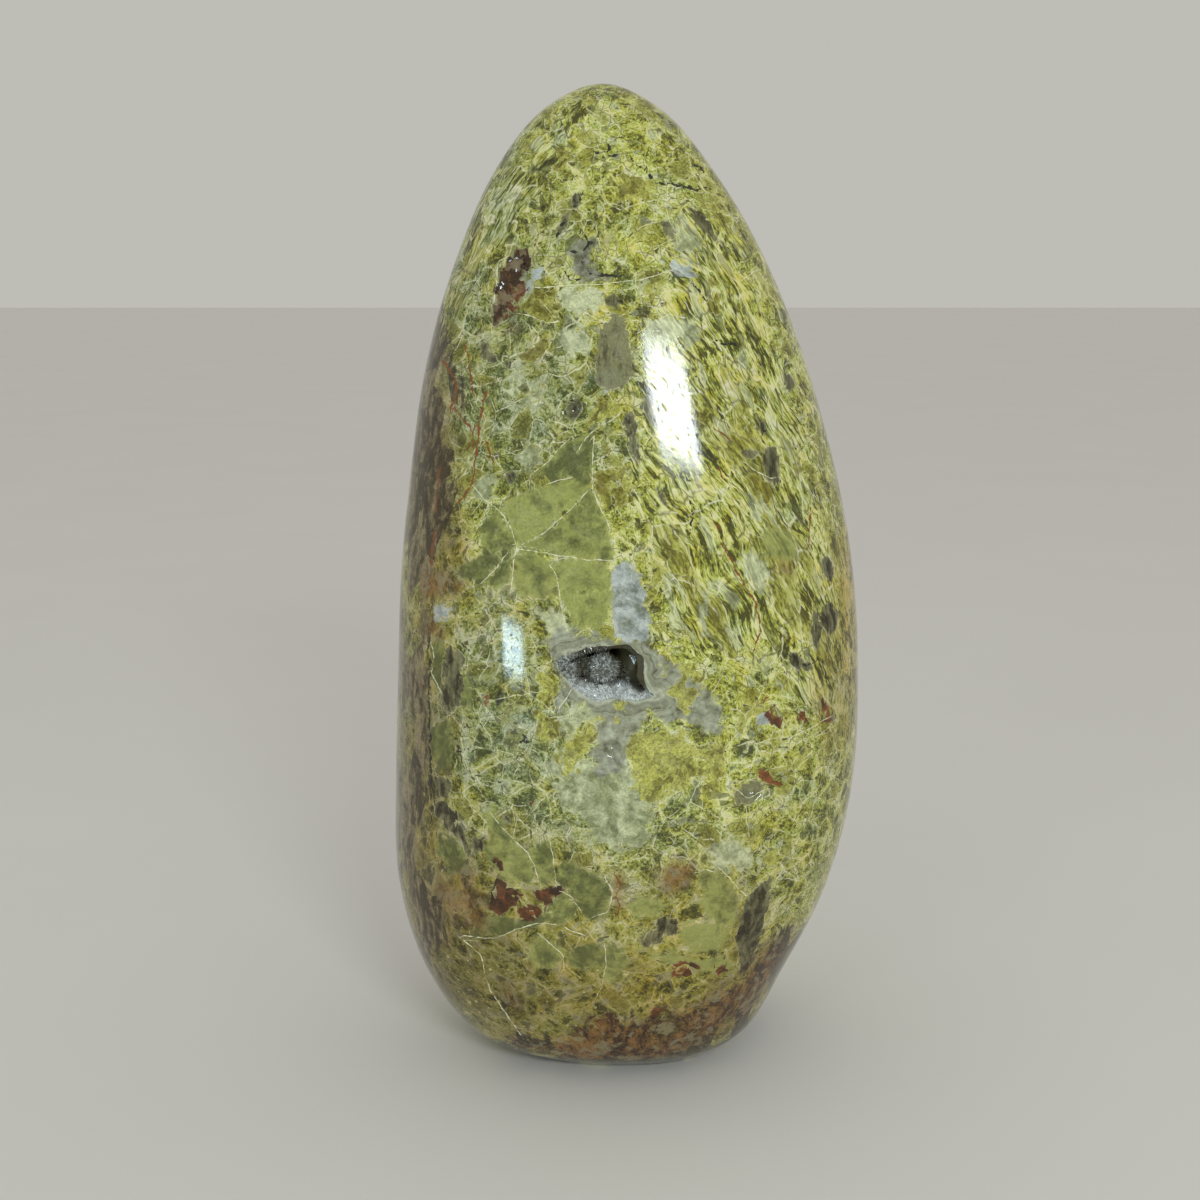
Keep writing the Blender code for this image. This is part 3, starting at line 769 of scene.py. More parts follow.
def hollow_ring(place, depth, hollow_depth, inset, bow=0.0):
    """Return the ring of points at a depth in the hollow, inset from its wall.

    The bow bends the ring back at its sides, as the stone's round surface does.
    """
    point, inward = place
    across = Vector((1, 0, 0))
    up = across.cross(inward).normalized()
    share = min(1.0, max(0.0, depth / (hollow_depth - inset)))
    size = math.sqrt(1 - share ** HOLLOW_ROUNDING) * (1 - inset / HOLLOW_HALF_HEIGHT)
    middle = point + inward * depth + up * depth * math.tan(HOLLOW_RISE)
    ring = []
    for right, high in smooth_mouth():
        lump = 1 + HOLLOW_LUMPS * noise.noise(Vector((right, high, depth)) * 0.6)
        lump += HOLLOW_LUMPS * 0.6 * noise.noise(Vector((right, high, depth)) * 1.9)
        back = inward * (right * right / MOUTH_BOW * bow * (1 - share))
        ring.append(middle + (across * right + up * high) * size * lump + back)
    return ring, middle


def cup(place, depths, hollow_depth, inset, bow=0.0):
    """Return the points and faces of a cup along the hollow's wall, closed at its end."""
    rings = [hollow_ring(place, depth, hollow_depth, inset, bow)[0] for depth in depths]
    count = len(rings[0])
    points = [point for ring in rings for point in ring]
    points.append(hollow_ring(place, hollow_depth - inset, hollow_depth, inset)[1])
    faces = tube_faces(len(rings), count)
    faces += fan_faces(list(range(count * (len(rings) - 1), len(points) - 1)), len(points) - 1)
    return points, faces, count


def cut_hollow(stone, hollow_depth):
    """Cut the hollow into the stone's front."""
    place = front_place(stone, *HOLLOW_PLACE)
    depths = [hollow_depth * math.sin(math.pi / 2 * i / HOLLOW_STEPS) for i in range(HOLLOW_STEPS)]
    points, faces, count = cup(place, [-MOUTH_OVERSHOOT] + depths, hollow_depth, 0.0)
    cutter = new_object("hollow_cutter", points, faces + [list(range(count))[::-1]])
    outward(cutter.data)
    hole = stone.modifiers.new("hollow", 'BOOLEAN')
    hole.operation = 'DIFFERENCE'
    hole.solver = 'EXACT'
    hole.object = cutter
    bake(stone)
    remove(cutter)
    return place


def outward(mesh, crisp=None):
    """Turn a mesh's faces outwards, smooth but for the edges sharper than crisp."""
    bm = bmesh.new()
    bm.from_mesh(mesh)
    bmesh.ops.recalc_face_normals(bm, faces=bm.faces)
    if crisp:
        for face in bm.faces:
            face.smooth = True
        for edge in bm.edges:
            edge.smooth = edge.calc_face_angle(0.0) < crisp
    bm.to_mesh(mesh)
    bm.free()


def photo_places(points, normals):
    """Return where points in mm fall in the photograph, and how they face its camera."""
    away = points - np.array(CAMERA_PLACE)
    tilt, lift = math.cos(CAMERA_PITCH), math.sin(CAMERA_PITCH)
    depth = away[:, 1] * tilt - away[:, 2] * lift
    up = away[:, 1] * lift + away[:, 2] * tilt
    places = PHOTO_SIZE / 2 + FOCAL_PIXELS * np.stack([away[:, 0], -up], axis=1) / depth[:, None]
    facing = -(normals * away).sum(axis=1) / np.linalg.norm(away, axis=1)
    return places, facing


def to_segments(places, corners, ends):
    """Return the distance to the nearest of some segments, and the side it is on."""
    nearest = np.full(len(places), np.inf)
    side = np.ones(len(places))
    for start, end in zip(corners, ends):
        along = end - start
        away = places - start
        share = np.clip(away @ along / (along @ along), 0, 1)
        distance = np.linalg.norm(away - share[:, None] * along, axis=1)
        closer = distance < nearest
        nearest[closer] = distance[closer]
        turned = along[0] * away[:, 1] - along[1] * away[:, 0]
        side[closer] = np.where(turned[closer] < 0, -1.0, 1.0)
    return nearest, side


def is_inside(places, corners):
    """Say which places are inside an outline."""
    inside = np.zeros(len(places), bool)
    for (x, y), (next_x, next_y) in zip(corners, np.roll(corners, -1, axis=0)):
        if y != next_y:
            crosses = (y > places[:, 1]) != (next_y > places[:, 1])
            edge = x + (places[:, 1] - y) * (next_x - x) / (next_y - y)
            inside ^= crosses & (places[:, 0] < edge)
    return inside


def near(places, corners):
    """Return the indices of the places within reach of some corners."""
    room = REACH * PIXELS_PER_MM
    low, high = corners.min(axis=0) - room, corners.max(axis=0) + room
    return np.flatnonzero(((places > low) & (places < high)).all(axis=1))


def patch_field(places, patches):
    """Return the signed distance in mm from the nearest patch's edge, and its tone."""
    field = np.tile((REACH, 0.5, 0.0), (len(places), 1))
    for tone, *corners in patches:
        corners = np.array(corners, float)
        close = near(places, corners)
        distance, _ = to_segments(places[close], corners, np.roll(corners, -1, axis=0))
        distance[is_inside(places[close], corners)] *= -1
        distance /= PIXELS_PER_MM
        closer = distance < field[close, 0]
        field[close[closer], 0] = distance[closer]
        field[close[closer], 1] = tone
    return field


def line_field(places, lines):
    """Return the distance in mm to the nearest line, with the sign of its side, and plain."""
    field = np.tile((REACH, REACH, 0.0), (len(places), 1))
    for line in lines:
        corners = np.array(line, float)
        close = near(places, corners)
        distance, side = to_segments(places[close], corners[:-1], corners[1:])
        distance /= PIXELS_PER_MM
        closer = distance < field[close, 1]
        field[close[closer], 0] = (distance * side)[closer]
        field[close[closer], 1] = distance[closer]
    return field


def zone_field(places):
    """Return how grey-green, how darkened, partly by painted shade, and how brown the ground is at
    some places.
    """
    zones = np.array(ZONES, float)
    away = (places[:, None, :] - zones[:, :2]) / zones[:, 2:4]
    weight = np.exp(-(away ** 2).sum(axis=2))
    return weight @ zones[:, 4:] / (weight.sum(axis=1) + ZONE_FLOOR)[:, None]


def turned_places(places, points):
    """Return the places that the back takes its patches from."""
    noise.seed_set(BACK_SEED)
    shift = np.array([noise.noise_vector(Vector(point) / BACK_SPACING)[:2] for point in points])
    return (0, BACK_TURN) + places * (1, -1) + shift * BACK_SHIFT


def mark_minerals(stone):
    """Store on the stone how far each point is from each mineral patch and line."""
    mesh = stone.data
    count = len(mesh.vertices)
    points = np.empty(count * 3)
    normals = np.empty(count * 3)
    mesh.vertices.foreach_get("co", points)
    mesh.vertex_normals.foreach_get("vector", normals)
    points = points.reshape(-1, 3) / MM
    normals = normals.reshape(-1, 3)
    places, facing = photo_places(points, normals)
    mirror = np.array((1, -1, 1))
    back_places, back_facing = photo_places(points * mirror, normals * mirror)
    is_back = (back_facing > facing) & (points[:, 1] > 0)
    behind = np.clip((back_facing - facing) / SIDE_BLEND + 0.5, 0, 1)[:, None]
    back_places = turned_places(back_places, points)
    zone = zone_field(places) * (1 - behind) + zone_field(back_places) * behind
    fibre = patch_field(places, FIBRE_ZONE) * (1 - behind)
    fibre[:, 0] += (BACK_FIBRES - points[:, 0]) * behind[:, 0]
    places[is_back] = back_places[is_back]
    facing = np.where(is_back, back_facing, facing)
    fade = REACH * np.clip((SIDE_FADE[1] - facing) / (SIDE_FADE[1] - SIDE_FADE[0]), 0, 1)
    fields = {
        "pane": patch_field(places, PANES),
        "amber": patch_field(places, AMBERS),
        "smoke": patch_field(places, SMOKES),
        "pale": patch_field(places, PALES),
        "agate": patch_field(places, AGATES),
        "lens": patch_field(places, LENSES),
        "red": patch_field(places, REDS),
        "stain": patch_field(places, STAINS),
        "crack": line_field(places, CRACKS),
        "dark_crack": line_field(places, FISSURES),
        "vein": line_field(places, VEINS),
    }
    for name, field in fields.items():
        field[:, 1 if name in ("crack", "dark_crack", "vein") else 0] += fade
    fields["zone"] = zone
    fields["breccia"] = patch_field(places, SIDE_BAND + FOOT_BAND)
    fields["breccia"][is_back, 0] = back_breccia(points[is_back])
    fields["fibre"] = fibre
    fields["mouth"] = patch_field(places, MOUTH)
    fields["mouth"][is_back, 0] = REACH
    for name, field in fields.items():
        store(mesh, name, field)


def back_breccia(points):
    """Return how far points of the back are from the broken rock at the side and foot."""
    azimuth = np.degrees(np.arctan2(points[:, 1], -points[:, 0]))
    side = np.radians(azimuth - BAND_AZIMUTH) * BAND_RADIUS
    wave = np.array([noise.fractal(Vector(point) / 16.0, 0.7, 2.1, 4) for point in points])
    side = np.maximum(side, points[:, 2] - BAND_TOP)
    foot = points[:, 2] - FOOT_HEIGHT
    return np.clip(np.minimum(side, foot), -REACH, REACH) + wave * 11.0


def store(mesh, name, field):
    """Store three values for each point of a mesh."""
    attribute = mesh.attributes.new(name, 'FLOAT_VECTOR', 'POINT')
    attribute.data.foreach_set("vector", field.astype(np.float32).ravel())


def crust_skin(place, hollow_depth):
    """Make the crust: a curved shell with round lumps of quartz, as one skin."""
    shares = [math.sin(math.pi / 2 * i / HOLLOW_STEPS) for i in range(HOLLOW_STEPS)]
    points, faces = [], []
    for inset, start in (
        (CRUST_GAP, CRUST_START), (CRUST_GAP + CRUST_THICKNESS, CRUST_START + CRUST_SLOPE),
    ):
        depths = [start + (hollow_depth - inset - start) * share for share in shares]
        more, quads, count = cup(place, depths, hollow_depth, inset, bow=1.0)
        faces += [[i + len(points) for i in quad] for quad in quads]
        points += more
    inner = len(points) // 2
    faces += [(i, (i + 1) % count, inner + (i + 1) % count, inner + i) for i in range(count)]
    crust = new_object("druzy_crust_quartz", points, faces)
    outward(crust.data)
    bm = bmesh.new()
    bm.from_mesh(crust.data)
    point, inward = place
    up = Vector((1, 0, 0)).cross(inward).normalized()
    for right, high, depth, radius in CRUST_BUMPS:
        middle = point + Vector((right, 0, 0)) + up * high + inward * depth
        bmesh.ops.create_icosphere(
            bm, subdivisions=3, radius=radius * MM, matrix=Matrix.Translation(middle * MM),
        )
    bm.to_mesh(crust.data)
    bm.free()
    skin = crust.modifiers.new("skin", 'REMESH')
    skin.mode = 'VOXEL'
    skin.voxel_size = CRUST_VOXEL * MM
    bake(crust)
    keep_largest(crust.data)
    return crust


def keep_largest(mesh):
    """Delete every loose part of a mesh but the largest."""
    bm = bmesh.new()
    bm.from_mesh(mesh)
    left = set(bm.verts)
    parts = []
    while left:
        part = {left.pop()}
        edge = list(part)
        while edge:
            reached = {e.other_vert(v) for v in edge for e in v.link_edges} & left
            left -= reached
            part |= reached
            edge = list(reached)
        parts.append(part)
    parts.sort(key=len)
    bmesh.ops.delete(bm, geom=[v for part in parts[:-1] for v in part], context='VERTS')
    bm.to_mesh(mesh)
    bm.free()


def mark_crust(crust, place, hollow_depth):
    """Store where crystals grow on the crust, and how white and how lit they are painted."""
    mesh = crust.data
    heart = hollow_ring(place, hollow_depth * 0.1, hollow_depth, 0.0)[1]
    points = np.array([vertex.co for vertex in mesh.vertices]) / MM
    normals = np.array([vertex.normal for vertex in mesh.vertices])
    places, facing = photo_places(points, normals)
    inwards = (normals * (np.array(heart) - points)).sum(axis=1)
    corners = np.array(BARE_LINE, float)
    bare = to_segments(places, corners[:-1], corners[1:])[0]
    seen = (inwards > 0) | (facing > BUMP_FACING)
    grow = np.clip((bare - BARE_REACH) / 3.0, 0, 1) * seen
    # The ledge at the hollow's foot is painted white as lit from above: partly white quartz,
    # partly painted light.
    white = np.clip((places[:, 1] - LEDGE_TOP) / LEDGE_HEIGHT, 0, 1)
    lump = PAINTED_LIT_LUMP[2] - np.linalg.norm(places - PAINTED_LIT_LUMP[:2], axis=1)
    bright = np.clip(np.maximum(lump, PAINTED_LIT_TIP - places[:, 0]) / 5.0, 0, 1)
    # Painted light and shade: the ledge, the round lump and the left tip keep the crystals' colour
    # as lit; the rest of the crust keeps a fifth of it and takes the dark wall colour as painted
    # shade, and the bare place at the right is painted fully dark.
    bright = np.maximum(np.maximum(bright, white) * 0.8 + 0.2, white)
    bright *= np.clip(bare / BARE_REACH - 0.2, 0, 1)
    store(mesh, "druse", np.stack([grow, white, bright], axis=1))


def druse_nodes():
    """Make the nodes that grow six-sided quartz points over a crust."""
    tree = bpy.data.node_groups.new("quartz druse", 'GeometryNodeTree')
    face = tree.interface
    face.new_socket("Geometry", in_out='OUTPUT', socket_type='NodeSocketGeometry')
    face.new_socket("Geometry", in_out='INPUT', socket_type='NodeSocketGeometry')
    for name in ("Spacing", "Crystal Radius", "Crystal Length"):
        face.new_socket(name, in_out='INPUT', socket_type='NodeSocketFloat')
    face.new_socket("Seed", in_out='INPUT', socket_type='NodeSocketInt')
    face.new_socket("Quartz", in_out='INPUT', socket_type='NodeSocketMaterial')
    given = add(tree, 'NodeGroupInput').node.outputs
    druse = add(tree, 'GeometryNodeInputNamedAttribute', ("druse",), data_type='FLOAT_VECTOR')
    grow = add(tree, 'ShaderNodeSeparateXYZ', (druse,))
    points = add(tree, 'GeometryNodeDistributePointsOnFaces', {
        "Mesh": given["Geometry"], "Distance Min": given["Spacing"], "Density Max": 1e9,
        "Density Factor": grow, "Seed": given["Seed"],
    }, distribute_method='POISSON')
    tilt = add(tree, 'FunctionNodeRandomValue', {
        0: (-0.55, -0.55, 0.0), 1: (0.55, 0.55, 6.3), "Seed": 3,
    }, data_type='FLOAT_VECTOR')
    turn = add(tree, 'FunctionNodeRotateRotation', {
        "Rotation": points.node.outputs["Rotation"],
        "Rotate By": add(tree, 'FunctionNodeEulerToRotation', (tilt,)),
    }, rotation_space='LOCAL')
    size = add(tree, 'FunctionNodeRandomValue', {2: 0.55, 3: 1.5, "Seed": 5}, out=1)
    crystal = add(tree, 'GeometryNodeMeshCone', {
        "Vertices": 6, "Radius Top": 0.0, "Radius Bottom": given["Crystal Radius"],
        "Depth": given["Crystal Length"],
    })
    sunk = add(tree, 'GeometryNodeTransform', {
        "Geometry": crystal, "Translation": (0.0, 0.0, -0.05 * MM),
    })
    grown = add(tree, 'GeometryNodeInstanceOnPoints', {
        "Points": points, "Instance": sunk, "Rotation": turn, "Scale": size,
    })
    tint = add(tree, 'FunctionNodeRandomValue', {2: 0.0, 3: 1.0, "Seed": 9}, out=1)
    tinted = add(tree, 'GeometryNodeStoreNamedAttribute', {
        "Geometry": grown, "Name": "tint", "Value": tint,
    }, data_type='FLOAT', domain='INSTANCE')
    whole = add(tree, 'GeometryNodeRealizeInstances', {
        "Geometry": add(tree, 'GeometryNodeJoinGeometry', {0: [given["Geometry"], tinted]}),
    })
    quartz = add(tree, 'GeometryNodeSetMaterial', {
        "Geometry": whole, "Material": given["Quartz"],
    })
    add(tree, 'NodeGroupOutput', (quartz,))
    return tree


def grow_crystals(crust, material, sizes):
    """Grow the quartz points on the crust, and make them part of its mesh."""
    crust.data.materials.append(material)
    tree = druse_nodes()
    growth = crust.modifiers.new("druse", 'NODES')
    growth.node_group = tree
    values = {
        "Spacing": sizes.crystal_spacing, "Crystal Radius": sizes.crystal_radius,
        "Crystal Length": sizes.crystal_length, "Seed": sizes.crystal_seed, "Quartz": material,
    }
    for item in tree.interface.items_tree:
        if item.in_out == 'INPUT' and item.name in values:
            growth[item.identifier] = values[item.name]
    bake(crust)


def new_material(name):
    """Return a new material, its nodes, its shader and its place in mm."""
    material = bpy.data.materials.new(name)
    material.use_nodes = True
    tree = material.node_tree
    place = add(tree, 'ShaderNodeTexCoord', out=3)
    mm = add(tree, VECTOR, {0: place, 3: 1 / MM}, operation='SCALE')
    return material, tree, tree.nodes["Principled BSDF"], mm


def warped(tree, mm):
    """Push places about a little, so that every pattern runs in natural bends."""
    spot = mm
    for scale, reach in ((0.13, 3.0), (0.8, 0.4)):
        push = add(tree, NOISE, {"Vector": mm, "Scale": scale, "Detail": 1.0}, out=1)
        push = add(tree, VECTOR, (push, (0.5, 0.5, 0.5)), operation='SUBTRACT')
        spot = add(tree, VECTOR, (push, (reach, reach, reach), spot), operation='MULTIPLY_ADD')
    return spot


def fibre_space(tree, spot):
    """Draw places out along the stone's sloping fibres, which lean to both sides."""
    part = add(tree, 'ShaderNodeSeparateXYZ', (spot,)).node.outputs
    side = add(tree, MATH, (part[0], FIBRE_MIDDLE), operation='SUBTRACT')
    side = add(tree, MATH, (side,), operation='ABSOLUTE')
    across = add(tree, MATH, (side, 0.88), operation='MULTIPLY')
    across = add(tree, MATH, (part[2], 0.47, across), operation='MULTIPLY_ADD')
    along = add(tree, MATH, (side, -0.47), operation='MULTIPLY')
    along = add(tree, MATH, (part[2], 0.88, along), operation='MULTIPLY_ADD')
    along = add(tree, MATH, (along, FIBRE_STRETCH), operation='DIVIDE')
    return add(tree, 'ShaderNodeCombineXYZ', (across, part[1], along))


def ground_space(tree, spot):
    """Return places for the ground's patterns, drawn out inside the fibrous zones."""
    fibre = add(tree, ATTRIBUTE, out=1, attribute_name="fibre")
    fibre = add(tree, 'ShaderNodeSeparateXYZ', (fibre,))
    ragged = add(tree, NOISE, {"Vector": spot, "Scale": 0.35, "Detail": 4.0})
    edge = add(tree, MATH, (ragged, 14.0, fibre), operation='MULTIPLY_ADD')
    inside = add(tree, MATH, (edge, 6.0), operation='LESS_THAN')
    fibres = fibre_space(tree, spot)
    space = add(tree, MIX, {0: inside, 4: spot, 5: fibres}, out=1, data_type='VECTOR')
    return space, inside


def flakes(tree, space, in_fibre):
    """Cut the ground into flakes, each with its own way for its short strokes to run."""
    big = add(tree, CELLS, {"Vector": space, "Scale": 0.34}, out=1)
    small = add(tree, CELLS, {"Vector": space, "Scale": 0.95}, out=1)
    free = add(tree, MATH, (in_fibre, -5.95, 6.3), operation='MULTIPLY_ADD')
    turn = add(tree, VECTOR, {0: big, 3: free}, operation='SCALE')
    strokes = add(tree, 'ShaderNodeVectorRotate', {"Vector": space, "Rotation": turn},
                  rotation_type='EULER_XYZ')
    strokes = add(tree, VECTOR, (strokes, STROKE_SHAPE), operation='MULTIPLY')
    big = add(tree, 'ShaderNodeSeparateXYZ', (big,)).node.outputs
    small = add(tree, 'ShaderNodeSeparateXYZ', (small,)).node.outputs
    return big, small, strokes


def moss_ground(tree, spot, space, in_fibre, shade):
    """Mix the mossy ground: drifting hues, flakes, short strokes and a fine bright grain."""
    big, small, strokes = flakes(tree, space, in_fibre)
    zone = add(tree, ATTRIBUTE, out=1, attribute_name="zone")
    zone = add(tree, 'ShaderNodeSeparateXYZ', (zone,)).node.outputs
    drift = add(tree, NOISE, {"Vector": spot, "Scale": 0.26, "Detail": 4.0, "Roughness": 0.68},
                out=1)
    drift = add(tree, 'ShaderNodeSeparateXYZ', (drift,)).node.outputs
    stroke = add(tree, NOISE, {"Vector": strokes, "Scale": 2.0, "Detail": 2.0, "Roughness": 0.7})
    grain = add(tree, NOISE, {"Vector": space, "Scale": 3.4, "Detail": 2.0, "Roughness": 0.8})
    calm = add(tree, MATH, (zone[2], -0.5, 1.0), operation='MULTIPLY_ADD')
    stroke = add(tree, MATH, (stroke, 0.5), operation='SUBTRACT')
    grain = add(tree, MATH, (grain, 0.5), operation='SUBTRACT')
    grain = add(tree, MATH, (grain, 0.8), operation='MULTIPLY')
    share = add(tree, MATH, (in_fibre, 0.9, 0.4), operation='MULTIPLY_ADD')
    fine = add(tree, MATH, (stroke, share, grain), operation='MULTIPLY_ADD')
    fine = add(tree, MATH, (fine, calm), operation='MULTIPLY')
    tone = add(tree, MATH, (drift[0], 1.15, -0.04), operation='MULTIPLY_ADD')
    for scale, cell, depth in ((0.34, big[0], 0.42), (0.95, small[0], 0.28)):
        rim = add(tree, CELLS, {"Vector": space, "Scale": scale}, feature='DISTANCE_TO_EDGE')
        rim = add(tree, RANGE, (rim, 0.0, 0.30, 0.5, -0.5), interpolation_type='SMOOTHSTEP')
        rim = add(tree, MATH, (rim, cell), operation='MULTIPLY')
        tone = add(tree, MATH, (rim, depth, tone), operation='MULTIPLY_ADD')
    tone = add(tree, MATH, (small[0], 0.08, tone), operation='MULTIPLY_ADD')
    tone = add(tree, MATH, (fine, 1.5, tone), operation='MULTIPLY_ADD')
    yellow = add(tree, RAMP, (tone,), stops=(
        (0.30, shade["moss_deep"]), (0.44, shade["moss_dark"]), (0.57, shade["moss"]),
        (0.70, shade["moss_light"]), (0.88, shade["moss_pale"]),
    ))
    green = add(tree, RAMP, (tone,), stops=(
        (0.34, shade["sage_deep"]), (0.56, shade["sage"]), (0.79, shade["sage_pale"]),
    ))
    hue = add(tree, MATH, (big[1], 0.08, drift[1]), operation='MULTIPLY_ADD')
    hue = add(tree, MATH, (zone[0], 0.34, hue), operation='MULTIPLY_ADD')
    hue = add(tree, RANGE, (hue, 0.56, 0.86, 0.0, 1.0))
    ground = add(tree, MIX, {0: hue, 6: yellow, 7: green}, out=2, data_type='RGBA')
    gold = add(tree, VECTOR, (ground, shade["gold_tint"][:3]), operation='MULTIPLY')
    golden = add(tree, RANGE, (drift[2], 0.46, 0.66, 0.0, 1.0))
    ground = add(tree, MIX, {0: golden, 6: ground, 7: gold}, out=2, data_type='RGBA')
    for chance, low, high, dark, light in (
        (big[2], 0.80, 0.82, "amber_dark", "amber_light"),
        (small[1], 0.93, 0.95, "milk_dark", "milk_light"),
        (small[2], 0.93, 0.95, "smoke_dark", "pane_dark"),
    ):
        clear = add(tree, MIX, {0: tone, 6: shade[dark], 7: shade[light]}, out=2,
                    data_type='RGBA')
        cover = add(tree, RANGE, (chance, low, high, 0.0, 0.6))
        ground = add(tree, MIX, {0: cover, 6: ground, 7: clear}, out=2, data_type='RGBA')
    # Darken the ground by the zones: partly its own tone, partly painted shade at its edges and
    # foot.
    painted_shade_and_tone = add(tree, MATH, (zone[1], -0.62, 1.0), operation='MULTIPLY_ADD')
    ground = add(tree, VECTOR, {0: ground, 3: painted_shade_and_tone}, operation='SCALE')
    brown = add(tree, VECTOR, (ground, (1.12, 0.86, 0.72)), operation='MULTIPLY')
    ground = add(tree, MIX, {0: zone[2], 6: ground, 7: brown}, out=2, data_type='RGBA')
    return ground, fine, small[0], strokes


def ground_lines(tree, spot, space, strokes, ground, shade):
    """Draw the ground's own fine lines: pale rims and hairs, dark crevices and slits."""
    patchy = add(tree, NOISE, {"Vector": spot, "Scale": 0.5, "Detail": 3.0}, out=1)
    patchy = add(tree, 'ShaderNodeSeparateXYZ', (patchy,)).node.outputs
    zone = add(tree, ATTRIBUTE, out=1, attribute_name="zone")
    zone = add(tree, 'ShaderNodeSeparateXYZ', (zone,)).node.outputs
    open_part = add(tree, RANGE, (zone[2], 0.1, 0.6, 1.0, 0.15))
    for scale, part, width, strength, colour in (
        (0.20, 1, 0.016, 0.9, "cream"), (0.34, 0, 0.024, 0.85, "cream"),
        (0.95, 2, 0.08, 0.8, "moss_deep"),
    ):
        rim = add(tree, CELLS, {"Vector": space, "Scale": scale}, feature='DISTANCE_TO_EDGE')
        rim = add(tree, RANGE, (rim, 0.0, width, strength, 0.0))
        where = add(tree, RANGE, (patchy[part], 0.44, 0.54, 0.0, 1.0))
        where = add(tree, MATH, (where, open_part), operation='MULTIPLY')
        rim = add(tree, MATH, (rim, where), operation='MULTIPLY')
        ground = add(tree, MIX, {0: rim, 6: ground, 7: shade[colour]}, out=2, data_type='RGBA')
    slits = add(tree, NOISE, {"Vector": strokes, "Scale": 1.3, "Detail": 2.0, "Roughness": 0.6})
    for low, high, strength, colour in (
        (0.64, 0.67, 0.9, "moss_deep"), (0.33, 0.30, 0.5, "moss_pale"),
    ):
        slit = add(tree, RANGE, (slits, low, high, 0.0, strength))
        ground = add(tree, MIX, {0: slit, 6: ground, 7: shade[colour]}, out=2, data_type='RGBA')
    return ground, patchy[0]


def mineral_patterns(tree, mm, spot):
    """Return the patterns inside the minerals: clouds, streaks and agate bands."""
    cloud = add(tree, NOISE, {"Vector": spot, "Scale": 0.55, "Detail": 6.0, "Roughness": 0.62})
    streaks = add(tree, NOISE, {
        "Vector": add(tree, VECTOR, (spot, (1.0, 1.0, 0.25)), operation='MULTIPLY'),
        "Scale": 0.9, "Detail": 6.0, "Roughness": 0.72,
    })
    blocks = add(tree, VECTOR, (spot, (1.0, 1.0, 0.5)), operation='MULTIPLY')
    blocks = add(tree, CELLS, {"Vector": blocks, "Scale": 0.24}, out=1)
    blocks = add(tree, 'ShaderNodeSeparateXYZ', (blocks,)).node.outputs
    broken = add(tree, MIX, {0: 0.13, 2: streaks, 3: blocks[0]})
    mouth = add(tree, ATTRIBUTE, out=1, attribute_name="mouth")
    agate = add(tree, ATTRIBUTE, out=1, attribute_name="agate")
    mouth = add(tree, 'ShaderNodeSeparateXYZ', (mouth,))
    agate = add(tree, 'ShaderNodeSeparateXYZ', (agate,))
    push = add(tree, NOISE, {"Vector": mm, "Scale": 0.4, "Detail": 2.0, "Roughness": 0.5})
    level = add(tree, MATH, (agate, 0.4, mouth), operation='MULTIPLY_ADD')
    level = add(tree, MATH, (push, 4.0, level), operation='MULTIPLY_ADD')
    bands = add(tree, NOISE, {"W": level, "Scale": 1.1, "Detail": 3.0}, noise_dimensions='1D')
    calm = add(tree, RANGE, (mouth, 0.5, 3.5, 0.15, 0.75))
    bands = add(tree, MIX, {0: calm, 2: bands, 3: cloud})
    patterns = {"cloud": cloud, "streaks": streaks, "bands": bands, "blocks": broken}
    return patterns, mouth, blocks[1]


